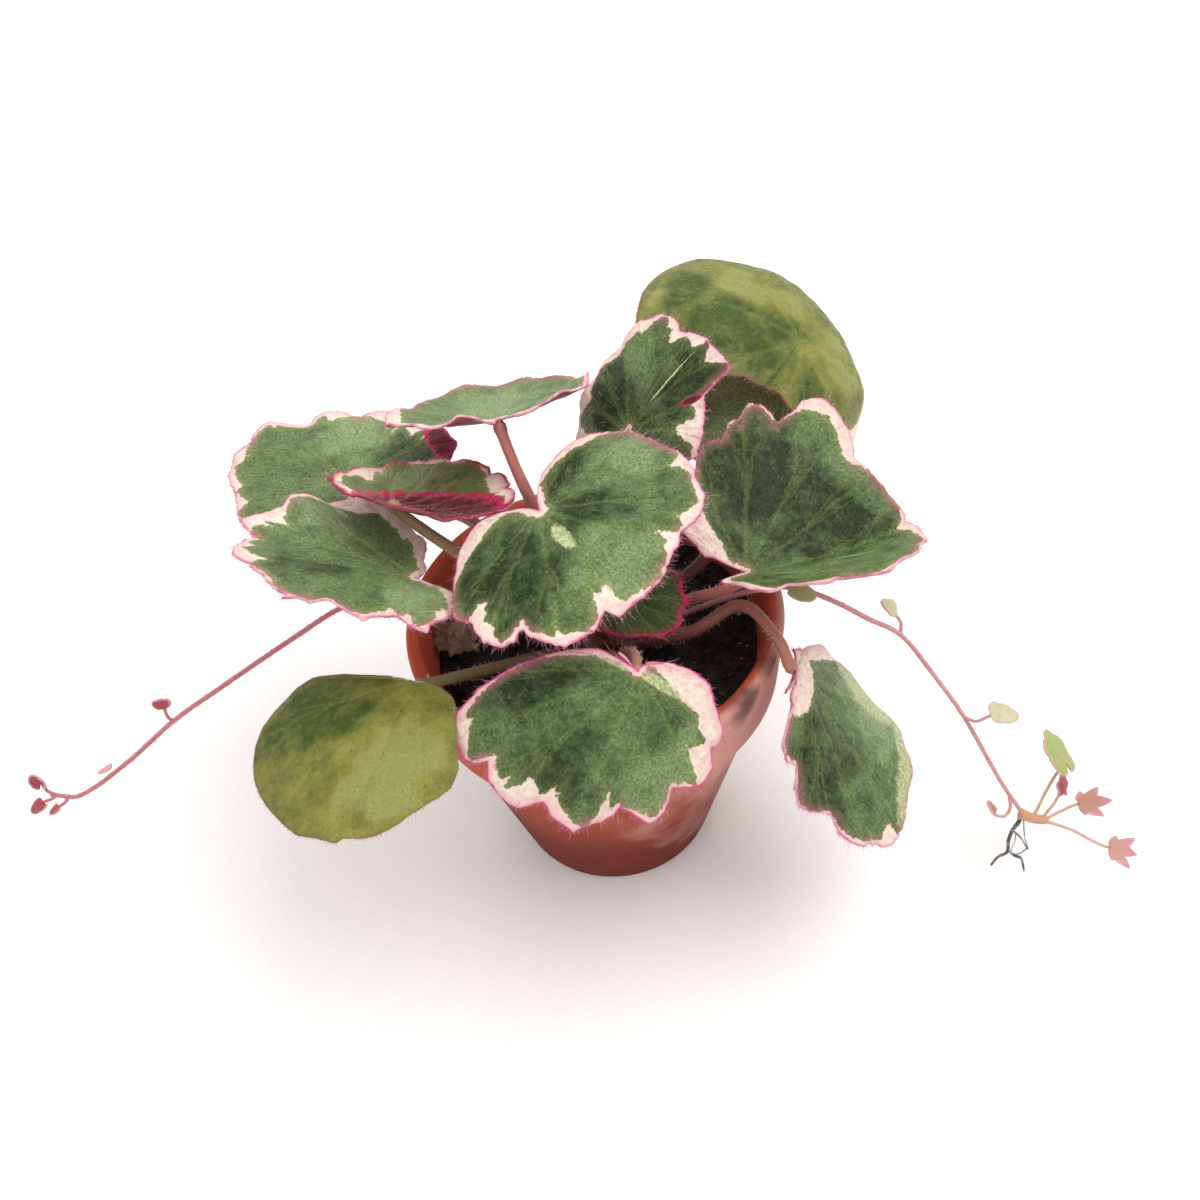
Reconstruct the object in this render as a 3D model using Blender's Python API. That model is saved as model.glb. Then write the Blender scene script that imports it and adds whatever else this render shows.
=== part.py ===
"""Strawberry begonia (Saxifraga stolonifera) growing in a small terracotta pot.

The pot stands on the ground plane with its foot centred on the origin. A rosette of rounded,
scalloped leaves rises on stalks from a short crown in the soil, and two runners carry bracts and
plantlets out to the left and to the right. Tables below are in millimetres and degrees; the
objects are made in metres, with +Z up.
"""

import math

import bmesh
import bpy
from mathutils import Matrix, Vector

MM = 0.001
GAP = 0.4

# Pot
RIM_RADIUS = 45.0
POT_HEIGHT = 79.0
COLLAR_HEIGHT = 19.0
COLLAR_FOOT_RADIUS = 44.0
COLLAR_STEP = 2.8
FOOT_RADIUS = 26.5
WALL = 3.8
FLOOR = 5.0
LIP = 1.3
POT_SIDES = 40
DRAIN_RADIUS = 3.0
DRAIN_RING = 13.0
DRAIN_COUNT = 3

# Soil and crown
SOIL_TOP = 68.0
SOIL_LUMP = 1.1
SOIL_RINGS = 5
CROWN_RADIUS = 8.0
CROWN_MIDDLE = 67.0
CROWN_FOOT = 62.0
CROWN_SIDES = 28
CROWN_SHEATHS = 7

# Leaves
BLADE_THICKNESS = 0.9
RINGS = (0.0, 0.32, 0.62, 0.85, 1.0)
STEPS_PER_LOBE = 4
STALK_RADII = (1.7, 1.25)
STALK_POINTS = 11
STALK_SIDES = 8

# Runners, and the small leaves that they carry
RUNNER_RADII = (0.9, 0.7)
RUNNER_STEP = 4.0
RUNNER_SIDES = 6
KNOT_RADII = (1.7, 1.2)
TWIG_RADII = (0.6, 0.5)
TWIG_STEP = 2.0
TWIG_SIDES = 6
SMALL_BLADE_THICKNESS = 0.7
SMALL_RINGS = (0.0, 0.55, 1.0)

# Each leaf: where its stalk meets the blade, its turn (heading of the tip, pitch, roll), how it
# curls along and across (1/mm), how its halves fold up, its margin wave, and its outline as
# (angle, reach) from the junction with the notches between the lobes.
LEAVES = {
    "centre": {
        "at": (-9, -2, 114), "turn": (-50, 12, 14), "along": 0.015, "across": 0.006, "fold": 0.0,
        "edge": [(-166, 5), (-150, 14), (-120, 22), (-95, 28), (-70, 33), (-40, 35), (-10, 34),
                 (15, 33), (42, 36), (65, 32), (90, 29), (108, 24), (125, 16), (143, 7)],
        "notches": [-100, -82, -57, -23, 0, 25, 48, 70, 92], "depth": 0.07,
        "wave": (0.5, 7, 0.0), "foot": (190, 78), "arrive": 62, "rise": 0.7,
    },
    "front": {
        "at": (8, -34, 95.5), "turn": (-112, -30, -25), "along": 0.020, "across": 0.020, "fold": 0.0,
        "edge": [(-120, 5), (-97, 13), (-80, 25), (-68, 36.5), (-54, 43), (-38, 42), (-15, 39),
                 (5, 37), (24, 34), (48, 31), (70, 25), (90, 18), (110, 10), (128, 5)],
        "notches": [-88, -66, -46, -22, 9, 34, 58, 80], "depth": 0.09,
        "wave": (0.7, 8, 1.0), "foot": (282, 24), "arrive": 35,
    },
    "right": {
        "at": (35, -8, 94), "turn": (6, -6, -6), "along": -0.010, "across": -0.010, "fold": 0.5,
        "edge": [(-150, 8), (-125, 13), (-100, 18), (-78, 25), (-60, 31), (-42, 34), (-22, 38),
                 (-2, 41), (15, 38), (35, 37), (55, 38), (78, 35), (90, 30), (102, 25), (120, 18),
                 (140, 14), (152, 9)],
        "notches": [-95, -72, -52, -32, -12, 14, 34, 62, 93, 120], "depth": 0.08,
        "wave": (0.6, 9, 0.4), "foot": (350, 36), "arrive": 50,
        "via": [(21, -2.8, 80.6)],
    },
    "back_right": {
        "at": (57, 47, 115), "turn": (58, 0, 38), "along": 0.023, "across": 0.023, "fold": 0.0,
        "edge": [(-165, 12), (-140, 22), (-110, 29), (-80, 31), (-50, 31), (-20, 32), (10, 34),
                 (40, 36), (70, 40), (100, 42), (118, 41), (135, 31), (150, 24), (163, 17)],
        "notches": [-120, -80, -40, 0, 40, 80, 125], "depth": 0.025,
        "wave": (0.4, 5, 0.0), "foot": (18, 22), "arrive": 100,
        "via": [(28, 12, 79), (47, 31, 88), (58.5, 46, 101)],
    },
    "back": {
        "at": (13, 29, 108), "turn": (66, 36, -25), "along": 0.003, "across": 0.013, "fold": 0.0,
        "edge": [(-150, 8), (-120, 15), (-93, 20), (-72, 22), (-58, 25), (-45, 28), (-28, 29),
                 (-10, 29), (8, 28), (25, 26), (45, 23), (65, 21), (90, 20), (120, 15), (150, 8)],
        "notches": [-98, -75, -50, -32, -15, 6, 28, 52, 80], "depth": 0.08,
        "wave": (0.8, 7, 0.6), "foot": (74, 44), "arrive": 55,
    },
    "back_shaded": {
        "at": (42, 34, 98.5), "turn": (75, 30, 5), "along": 0.010, "across": 0.012, "fold": 0.0,
        "edge": [(-160, 7), (-130, 13), (-95, 17), (-60, 19), (-20, 20), (20, 21), (60, 20),
                 (95, 18), (130, 13), (160, 7)],
        "notches": [-105, -70, -35, 0, 35, 70, 105], "depth": 0.07,
        "wave": (0.6, 6, 0.2), "foot": (46, 28), "arrive": 55,
    },
    "back_left": {
        "at": (-17, 30, 115), "turn": (108, -33, 4), "along": -0.017, "across": -0.007, "fold": 0.09,
        "edge": [(-165, 9), (-140, 18), (-110, 22), (-80, 25), (-40, 28), (0, 29), (40, 28),
                 (80, 25), (110, 22), (140, 18), (165, 9)],
        "notches": [-120, -95, -70, -42, -14, 14, 42, 70, 95, 120], "depth": 0.06,
        "wave": (0.7, 8, 0.9), "foot": (110, 40), "arrive": 70, "rise": 0.8,
    },
    "far_left": {
        "at": (-57.2, 35.6, 97.3), "turn": (130, 4, 5), "along": 0.003, "across": 0.003, "fold": 0.0,
        "edge": [(-165, 6), (-140, 10), (-118, 22), (-103, 31), (-85, 32.5), (-60, 30), (-27, 29),
                 (0, 31.5), (25, 31), (50, 29.5), (68, 28), (87, 26), (115, 20), (140, 12), (165, 6)],
        "notches": [-105, -80, -58, -38, -15, 10, 32, 58, 84, 112], "depth": 0.08,
        "wave": (1.0, 7, 0.0), "foot": (140, 26), "arrive": 35,
        "via": [(-17, 17, 81), (-28, 27, 87), (-42, 33, 89.5)],
    },
    "left_cup": {
        "at": (-43.5, 12.7, 108), "turn": (41, -41, -10), "along": -0.028, "across": -0.013,
        "fold": 0.0,
        "edge": [(-160, 7), (-130, 14), (-100, 18), (-75, 22), (-50, 28), (-20, 31), (5, 31),
                 (25, 29), (45, 27), (65, 23), (90, 19), (120, 15), (143, 13), (160, 8)],
        "notches": [-95, -70, -48, -25, -5, 15, 35, 55, 80, 105], "depth": 0.09,
        "wave": (0.5, 9, 0.0), "foot": (160, 48), "arrive": 150,
        "via": [(-30, 8, 95)],
    },
    "left": {
        "at": (-38.5, -4, 100), "turn": (178, 22, 19), "along": 0.001, "across": -0.001, "fold": 0.06,
        "edge": [(-150, 6), (-120, 13), (-95, 21), (-78, 28), (-58, 37), (-42, 42), (-22, 41),
                 (0, 40), (22, 33), (42, 30), (62, 26), (85, 22.5), (108, 19), (132, 13), (158, 7)],
        "notches": [-86, -56, -30, -8, 10, 27, 40, 58, 82, 106], "depth": 0.09,
        "wave": (0.7, 8, 0.3), "foot": (192, 40), "arrive": 50,
    },
    "front_left": {
        "at": (-40.3, -21.8, 85.6), "turn": (-142, 0, 2), "along": 0.014, "across": 0.010, "fold": -0.06,
        "edge": [(-66, 9), (-62, 22), (-52, 34), (-38, 41), (-20, 43), (0, 42), (20, 39),
                 (40, 33), (60, 27), (74, 20), (95, 12), (120, 7)],
        "notches": [-50, -20, 10, 40, 66], "depth": 0.02,
        "wave": (0.4, 5, 0.5), "foot": (214, 24), "arrive": 30,
    },
    "front_right": {
        "at": (44, -25, 79), "turn": (-22, -54, -6), "along": -0.002, "across": 0.024, "fold": 0.04,
        "edge": [(-100, 7), (-82, 18), (-62, 27), (-50, 33), (-34, 42), (-15, 47), (5, 46),
                 (20, 46), (35, 42), (48, 35), (60, 26), (75, 16), (95, 9), (115, 5)],
        "notches": [-72, -56, -40, -24, -5, 14, 32, 50, 68], "depth": 0.05,
        "wave": (0.6, 8, 0.2), "foot": (326, 24), "arrive": 15,
        "via": [(22, -9, 77), (34, -8, 83), (40.5, -19.5, 82.8)],
    },
    "young": {
        "at": (7, -3, 85.5), "turn": (-40, 2, 0), "along": 0.012, "across": -0.012, "fold": 0.1,
        "edge": [(-155, 5), (-120, 10), (-80, 13), (-40, 15), (0, 16), (40, 15), (80, 13),
                 (120, 10), (155, 5)],
        "notches": [-95, -65, -38, -12, 12, 38, 65, 95], "depth": 0.09,
        "wave": (0.5, 7, 0.0), "foot": (305, 62), "arrive": 60, "rise": 0.6,
    },
}

# Stems of the runners and of the plantlet on the right: the points that each passes through.
RUNNERS = {
    "right": [(9.4, -1.2, 70), (22, -1, 75), (36, -4, 83), (46, -5, 84), (55, -6.5, 80), (64.5, -8.5, 73.6),
              (72, -10, 68.5), (79.5, -13.5, 58), (88, -19, 45), (97, -28, 28.5), (101.95, -32, 20.7)],
    "left": [(-9, 2, 69), (-22, 3, 75), (-36, 4, 82), (-46, 5.5, 84), (-59, 6.5, 82.5), (-70.5, 3.5, 78.2),
             (-91.5, -3.7, 70), (-104, -8, 64.7), (-116.5, -13.6, 58), (-130, -17.4, 51.8),
             (-136, -17.6, 54)],
}
KNOT = [(102.3, -32.2, 18.9), (105.5, -33.4, 17.8), (109, -34.6, 18)]

# Leaves of the runners and plantlets, as above but smaller; "stalk" gives the points of each
# stalk from its root in the stem "on", up to the blade.
SMALL_LEAVES = {
    "bract_right_1": {
        "at": (45, -7, 85.8), "turn": (-13, -14, 15), "along": 0.03, "across": 0.05, "fold": 0.0,
        "edge": [(-80, 1), (-45, 3), (0, 7), (45, 3), (80, 1)],
        "notches": [-25, 25], "depth": 0.05, "wave": (0.1, 3, 0.0),
    },
    "bract_right_2": {
        "at": (71.3, -7, 74), "turn": (163, 39, 3), "along": 0.04, "across": 0.04, "fold": 0.0,
        "edge": [(-100, 1.4), (-50, 3.4), (0, 4.6), (50, 3.2), (100, 1.4)],
        "notches": [-40, 40], "depth": 0.12, "wave": (0.2, 4, 0.0),
        "on": "runner_right", "stalk": [(72, -9.9, 68.5), (72.2, -8.6, 71)], "arrive": 60,
    },
    "bract_right_3": {
        "at": (93.4, -21.5, 48.2), "turn": (-11, -2, 5), "along": 0.02, "across": 0.03, "fold": 0.0,
        "edge": [(-80, 1.6), (-40, 3.2), (0, 6.8), (40, 5.2), (75, 4.2), (110, 1.6)],
        "notches": [-30, 25, 60], "depth": 0.1, "wave": (0.2, 5, 0.0),
        "on": "runner_right", "stalk": [(88, -19, 45), (90.3, -21, 45.4)], "arrive": 30,
    },
    "bract_right_4": {
        "at": (95, -33.7, 23.2), "turn": (124, 44, 21), "along": 0.05, "across": 0.08, "fold": 0.0,
        "edge": [(-90, 1), (-40, 2), (0, 3.6), (40, 2), (90, 1)],
        "notches": [-25, 25], "depth": 0.08, "wave": (0.1, 3, 0.0),
        "on": "runner_right", "stalk": [(99.4, -30, 24.4), (99.2, -32.4, 21.8), (97.2, -33.8, 21)],
        "arrive": 40,
    },
    "bract_left_1": {
        "at": (-105.4, -7, 68.4), "turn": (99, 54, -13), "along": -0.05, "across": -0.08, "fold": 0.0,
        "edge": [(-90, 1.2), (-50, 3), (0, 2.6), (50, 3), (90, 1.2)],
        "notches": [-20, 20], "depth": 0.12, "wave": (0.2, 4, 0.0),
        "on": "runner_left", "stalk": [(-104, -8, 64.7), (-104.8, -7.8, 66.4)], "arrive": 60,
    },
    "bract_left_2": {
        "at": (-120.4, -14, 58), "turn": (-162, -8, 19), "along": 0.03, "across": 0.06, "fold": 0.0,
        "edge": [(-80, 1), (-40, 2), (0, 3.6), (40, 2), (80, 1)],
        "notches": [-25, 25], "depth": 0.05, "wave": (0.1, 3, 0.0),
    },
    "plantlet_right_1": {
        "at": (114, -26, 30.4), "turn": (109, 29, 36), "along": 0.02, "across": 0.04, "fold": 0.0,
        "edge": [(-155, 3), (-125, 4.6), (-90, 5.6), (-45, 7.4), (0, 9.4), (45, 7.4), (90, 5.6),
                 (125, 4.6), (155, 3)],
        "notches": [-100, -60, -20, 20, 60, 100], "depth": 0.09, "wave": (0.2, 6, 0.0),
        "on": "knot", "stalk": [(105.4, -33.3, 17.9), (106.6, -32.2, 19.6), (109.5, -29.1, 24.4)],
        "arrive": 60,
    },
    "plantlet_right_2": {
        "at": (113, -31.2, 24.2), "turn": (77, 46, 52), "along": 0.04, "across": 0.12, "fold": 0.0,
        "edge": [(-110, 2), (-60, 3), (0, 5.4), (60, 3), (110, 2)],
        "notches": [-70, -30, 30, 70], "depth": 0.14, "wave": (0.2, 6, 0.0),
        "on": "knot", "stalk": [(107.6, -34.2, 17.9), (108.8, -33.2, 19.6), (110.3, -32.4, 21.4)],
        "arrive": 60,
    },
    "plantlet_right_3": {
        "at": (115.8, -33.9, 23.2), "turn": (-7, 8, 19), "along": -0.03, "across": -0.05, "fold": 0.0,
        "edge": [(-95, 1.8), (-60, 4.2), (-30, 7), (0, 8.2), (30, 7), (60, 4.2), (95, 1.8)],
        "notches": [-52, -18, 18, 52], "depth": 0.2, "wave": (0.2, 5, 0.0),
        "on": "knot", "stalk": [(108.2, -34.4, 18), (110.2, -33.9, 19), (112.6, -33.7, 20.6)],
        "arrive": 20,
    },
    "plantlet_right_4": {
        "at": (121.6, -43.4, 17), "turn": (-25, -7, 16), "along": -0.03, "across": -0.05, "fold": 0.0,
        "edge": [(-95, 1.6), (-60, 4.6), (-32, 7), (0, 6.8), (32, 7), (60, 4.6), (95, 1.6)],
        "notches": [-54, -18, 18, 54], "depth": 0.2, "wave": (0.2, 5, 0.0),
        "on": "knot", "stalk": [(107.6, -34.4, 17.6), (109.6, -35.4, 17.8), (113.8, -37.9, 17.8)],
        "arrive": 20,
    },
    "young_left_1": {
        "at": (-137, -17.2, 58.4), "turn": (112, 59, -43), "along": -0.3, "across": -0.3, "fold": 0.0,
        "edge": [(-150, 2), (-90, 2.6), (0, 3), (90, 2.6), (150, 2)],
        "notches": [-90, -30, 30, 90], "depth": 0.12, "wave": (0.1, 5, 0.0),
        "on": "runner_left", "stalk": [(-135, -17.6, 53.7), (-136.4, -17.4, 55.4)], "arrive": 80,
    },
    "young_left_2": {
        "at": (-137.2, -20, 54.6), "turn": (-149, -20, -25), "along": 0.08, "across": 0.14, "fold": 0.0,
        "edge": [(-100, 1.4), (-50, 2.2), (0, 4), (50, 2.2), (100, 1.4)],
        "notches": [-30, 30], "depth": 0.1, "wave": (0.1, 4, 0.0),
        "on": "runner_left", "stalk": [(-134.6, -17.6, 53.4), (-135.6, -18.7, 53.6)], "arrive": 30,
    },
    "young_left_3": {
        "at": (-134.2, -20.2, 52.4), "turn": (-148, -20, -25), "along": 0.08, "across": 0.14, "fold": 0.0,
        "edge": [(-90, 1), (-40, 1.5), (0, 3), (40, 1.5), (90, 1)],
        "notches": [-25, 25], "depth": 0.08, "wave": (0.1, 3, 0.0),
        "on": "runner_left", "stalk": [(-132, -17.5, 52.4), (-133, -18.8, 51.8)], "arrive": 20,
    },
}

# Roots under the plantlet on the right: points and radii of each, the first one the thickest.
ROOTS = [
    ([(102.2, -33.6, 16.5), (100.4, -34.6, 15.8), (99, -36.4, 13.6), (98.6, -38.1, 10.6), (96.1, -38.8, 9.9),
      (94.4, -39.7, 7.8)], (0.9, 0.5)),
    ([(98.7, -37.6, 11.2), (100.4, -38.8, 9.8), (102, -39.5, 9.2), (102.7, -41.5, 6.1)], (0.7, 0.45)),
    ([(100.2, -34.8, 15.5), (102.2, -36.4, 13.8), (103.6, -38.4, 11.6)], (0.5, 0.35)),
]


def clear_scene():
    """Take away what the new file opens with."""
    for item in list(bpy.data.objects):
        bpy.data.objects.remove(item, do_unlink=True)


def material(name, rgb, roughness, metallic=0.0):
    """A plain Principled surface, made once for each name."""
    found = bpy.data.materials.get(name)
    if found:
        return found
    made = bpy.data.materials.new(name)
    made.use_nodes = True
    shader = made.node_tree.nodes["Principled BSDF"]
    shader.inputs["Base Color"].default_value = (*rgb, 1.0)
    shader.inputs["Roughness"].default_value = roughness
    shader.inputs["Metallic"].default_value = metallic
    made.diffuse_color = (*rgb, 1.0)
    return made


def link(name, mesh, surface):
    """Put a mesh or curve in the scene as a named object."""
    made = bpy.data.objects.new(name, mesh)
    mesh.materials.append(surface)
    bpy.context.scene.collection.objects.link(made)
    return made


def mesh_object(name, bm, surface, sharp=40.0):
    """A smooth-shaded object from a bmesh in millimetres."""
    bmesh.ops.scale(bm, vec=(MM, MM, MM), verts=bm.verts)
    mesh = bpy.data.meshes.new(name)
    bm.to_mesh(mesh)
    bm.free()
    mesh.shade_smooth()
    mesh.set_sharp_from_angle(angle=math.radians(sharp))
    return link(name, mesh, surface)


def turned(profile, sides):
    """A bmesh turned round Z from (radius, height) points that run down the outer side."""
    bm = bmesh.new()
    points = [bm.verts.new((r, 0.0, z)) for r, z in profile]
    edges = [bm.edges.new(pair) for pair in zip(points, points[1:])]
    bmesh.ops.spin(
        bm, geom=points + edges, axis=(0, 0, 1), cent=(0, 0, 0),
        angle=math.tau, steps=sides, use_merge=True, use_duplicate=False,
    )
    bmesh.ops.remove_doubles(bm, verts=bm.verts, dist=1e-4)
    bmesh.ops.recalc_face_normals(bm, faces=bm.faces)
    return bm


def arc(centre, radius, start, end, steps):
    """Points of an arc in the (radius, height) plane, by angles in degrees."""
    return [
        (centre[0] + radius * math.cos(math.radians(a)), centre[1] + radius * math.sin(math.radians(a)))
        for a in (start + (end - start) * i / steps for i in range(steps + 1))
    ]


def inner_radius(height):
    """Inside radius of the pot at a height above its foot."""
    shoulder = POT_HEIGHT - COLLAR_HEIGHT
    low = FOOT_RADIUS - WALL
    high = COLLAR_FOOT_RADIUS - COLLAR_STEP - WALL
    if height <= shoulder:
        return low + (high - low) * (height - FLOOR) / (shoulder - FLOOR)
    top = RIM_RADIUS - WALL
    return high + (top - high) * (height - shoulder) / COLLAR_HEIGHT


def build_pot():
    """Tapered terracotta pot with a straight collar, a rounded lip and drain holes in its floor."""
    shoulder = POT_HEIGHT - COLLAR_HEIGHT
    outer = arc((RIM_RADIUS - LIP, POT_HEIGHT - LIP), LIP, 90, 0, 3)
    outer += arc((COLLAR_FOOT_RADIUS - LIP, shoulder + LIP), LIP, 0, -90, 3)
    outer += [(COLLAR_FOOT_RADIUS - COLLAR_STEP, shoulder)]
    outer += [(FOOT_RADIUS + 0.4, LIP), (FOOT_RADIUS - 0.6, 0.0), (0.0, 0.0)]
    inner = [(0.0, FLOOR), (inner_radius(FLOOR) - 2.0, FLOOR), (inner_radius(FLOOR + 2.0), FLOOR + 2.0)]
    inner += [(inner_radius(shoulder), shoulder), (inner_radius(POT_HEIGHT - LIP), POT_HEIGHT - LIP)]
    inner += arc((RIM_RADIUS - WALL + LIP, POT_HEIGHT - LIP), LIP, 150, 90, 2)
    bm = turned(inner + outer, POT_SIDES)
    pot = mesh_object("pot", bm, material("terracotta", (0.42, 0.11, 0.05), 0.75))
    for i in range(DRAIN_COUNT):
        turn = math.tau * i / DRAIN_COUNT
        cutter_mesh = bmesh.new()
        bmesh.ops.create_cone(
            cutter_mesh, cap_ends=True, segments=16, radius1=DRAIN_RADIUS, radius2=DRAIN_RADIUS,
            depth=4 * FLOOR,
            matrix=Matrix.Translation((DRAIN_RING * math.cos(turn), DRAIN_RING * math.sin(turn), 0)),
        )
        cutter = mesh_object(f"drain_cutter_{i + 1}", cutter_mesh, material("cutter", (1, 0, 0), 1))
        cutter.hide_render = True
        cutter.display_type = "WIRE"
        cut = pot.modifiers.new(f"drain {i + 1}", "BOOLEAN")
        cut.operation = "DIFFERENCE"
        cut.solver = "EXACT"
        cut.object = cutter


def soil_height(x, y):
    """Uneven top of the potting mix."""
    wave = math.sin(0.31 * x + 1.0) * math.cos(0.27 * y - 0.4)
    wave += 0.6 * math.sin(0.55 * x - 0.43 * y + 2.0)
    return SOIL_TOP + SOIL_LUMP * 0.5 * wave


def build_soil():
    """Potting mix filling the pot to below its rim, with a round hole for the crown."""
    hole = CROWN_RADIUS + GAP
    edge = inner_radius(SOIL_TOP - SOIL_LUMP) - GAP
    shoulder = POT_HEIGHT - COLLAR_HEIGHT
    rings = [hole + (edge - hole) * i / SOIL_RINGS for i in range(SOIL_RINGS + 1)]
    profile = [(0.0, CROWN_FOOT), (hole, CROWN_FOOT)]
    profile += [(r, SOIL_TOP) for r in rings]
    profile += [(inner_radius(shoulder) - GAP, shoulder)]
    profile += [(inner_radius(FLOOR + 2.0) - GAP, FLOOR + 2.0 + GAP)]
    profile += [(inner_radius(FLOOR) - 2.0 - GAP, FLOOR + GAP), (0.0, FLOOR + GAP)]
    bm = turned(profile, POT_SIDES)
    for v in bm.verts:
        if abs(v.co.z - SOIL_TOP) < 1e-3:
            v.co.z = soil_height(v.co.x, v.co.y)
    mesh_object("soil", bm, material("potting_mix", (0.03, 0.02, 0.015), 0.95))


def build_crown():
    """Short knobbly stem that the leaf stalks spring from, half sunk in the soil."""
    foot = CROWN_FOOT + GAP
    profile = arc((0.0, CROWN_MIDDLE), CROWN_RADIUS, 90, 0, 5)
    profile += [(CROWN_RADIUS - 0.5, foot + 1.0), (CROWN_RADIUS - 2.0, foot), (0.0, foot)]
    bm = turned([(max(r, 0.0), z) for r, z in profile], CROWN_SIDES)
    for v in bm.verts:
        turn = math.atan2(v.co.y, v.co.x)
        dent = 1.0 - 0.06 * abs(math.sin(0.5 * CROWN_SHEATHS * turn))
        if v.co.z > SOIL_TOP - 1.0:
            v.co.x *= dent
            v.co.y *= dent
    mesh_object("crown", bm, material("crown_stem", (0.16, 0.07, 0.05), 0.7))


def leaf_frame(turn):
    """Unit vectors of a leaf: towards its tip, to its left, and out of its upper face."""
    heading, pitch, roll = (math.radians(a) for a in turn)
    tip = Vector((math.cos(heading) * math.cos(pitch), math.sin(heading) * math.cos(pitch), math.sin(pitch)))
    level = Vector((-math.sin(heading), math.cos(heading), 0.0))
    side = level * math.cos(roll) + tip.cross(level) * math.sin(roll)
    return tip, side, tip.cross(side)


def between(points, x):
    """Smooth value at x of a curve through (x, y) points, by cubic pieces."""
    last = len(points) - 2
    i = max(0, min(last, sum(1 for p in points[1:] if p[0] <= x)))
    (x0, y0), (x1, y1) = points[i], points[i + 1]
    before = points[max(i - 1, 0)]
    after = points[min(i + 2, len(points) - 1)]
    span = x1 - x0
    slope0 = (y1 - before[1]) / (x1 - before[0]) * span
    slope1 = (after[1] - y0) / (after[0] - x0) * span
    t = (x - x0) / span
    return (
        (2 * t**3 - 3 * t**2 + 1) * y0 + (t**3 - 2 * t**2 + t) * slope0
        + (3 * t**2 - 2 * t**3) * y1 + (t**3 - t**2) * slope1
    )


def margin_angles(leaf, steps):
    """(angle, how far along its lobe) all round the margin, with a sample on every notch."""
    stops = [leaf["edge"][0][0], *leaf["notches"], leaf["edge"][-1][0]]
    samples = []
    for start, end in zip(stops, stops[1:]):
        samples += [(start + (end - start) * i / steps, i / steps) for i in range(steps)]
    return samples + [(stops[-1], 0.0)]


def blade_point(leaf, frame, angle, lobe, share):
    """Where the blade lies at an angle from its tip and a share of the way to its margin."""
    tip, side, up = frame
    turn = math.radians(angle)
    scallop = leaf["depth"] * (1.0 - math.sqrt(max(0.0, 1.0 - (2.0 * lobe - 1.0) ** 2)))
    reach = between(leaf["edge"], angle) * (1.0 - scallop * share**2) * share
    curl = leaf["along"] * math.cos(turn) ** 2 + leaf["across"] * math.sin(turn) ** 2
    out = math.sin(curl * reach) / curl
    rise = -(1.0 - math.cos(curl * reach)) / curl
    size, waves, shift = leaf["wave"]
    rise += leaf["fold"] * abs(out * math.sin(turn))
    rise += size * share**3 * math.sin(waves * turn + shift)
    place = Vector(leaf["at"]) + out * (math.cos(turn) * tip + math.sin(turn) * side)
    return place + rise * up


def blade_bmesh(leaf, rings, steps, thickness):
    """Scalloped blade: a grid bent round the junction, triangulated, then given its thickness."""
    frame = leaf_frame(leaf["turn"])
    samples = margin_angles(leaf, steps)
    bm = bmesh.new()
    bmesh.ops.create_grid(
        bm, x_segments=len(rings) - 1, y_segments=len(samples) - 1, size=1.0, calc_uvs=False
    )
    for v in bm.verts:
        ring = round((v.co.x + 1.0) / 2.0 * (len(rings) - 1))
        sample = round((v.co.y + 1.0) / 2.0 * (len(samples) - 1))
        angle, lobe = samples[sample]
        v.co = blade_point(leaf, frame, angle, lobe, rings[ring])
    bmesh.ops.remove_doubles(bm, verts=bm.verts, dist=1e-3)
    bmesh.ops.triangulate(bm, faces=bm.faces[:], quad_method="FIXED")
    for face in bm.faces:
        face.normal_update()
    if sum((f.normal.dot(frame[2]) * f.calc_area() for f in bm.faces)) < 0:
        bmesh.ops.reverse_faces(bm, faces=bm.faces[:])
    bmesh.ops.solidify(bm, geom=bm.faces[:] + bm.edges[:] + bm.verts[:], thickness=thickness)
    bmesh.ops.recalc_face_normals(bm, faces=bm.faces)
    return bm


def smooth_path(points, start, end, count):
    """Evenly spread points of a smooth curve through the given ones, with its end directions."""
    knots = [Vector(p) for p in points]
    spans = [(b - a).length for a, b in zip(knots, knots[1:])]
    slopes = [Vector(start).normalized()]
    for i in range(1, len(knots) - 1):
        slopes.append((knots[i + 1] - knots[i - 1]) / (spans[i - 1] + spans[i]))
    slopes.append(Vector(end).normalized())
    total = sum(spans)
    path = []
    for n in range(count):
        along = total * n / (count - 1)
        i = 0
        while i < len(spans) - 1 and along > spans[i]:
            along -= spans[i]
            i += 1
        t = along / spans[i]
        path.append(
            (2 * t**3 - 3 * t**2 + 1) * knots[i] + (t**3 - 2 * t**2 + t) * spans[i] * slopes[i]
            + (3 * t**2 - 2 * t**3) * knots[i + 1] + (t**3 - t**2) * spans[i] * slopes[i + 1]
        )
    return path


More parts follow.
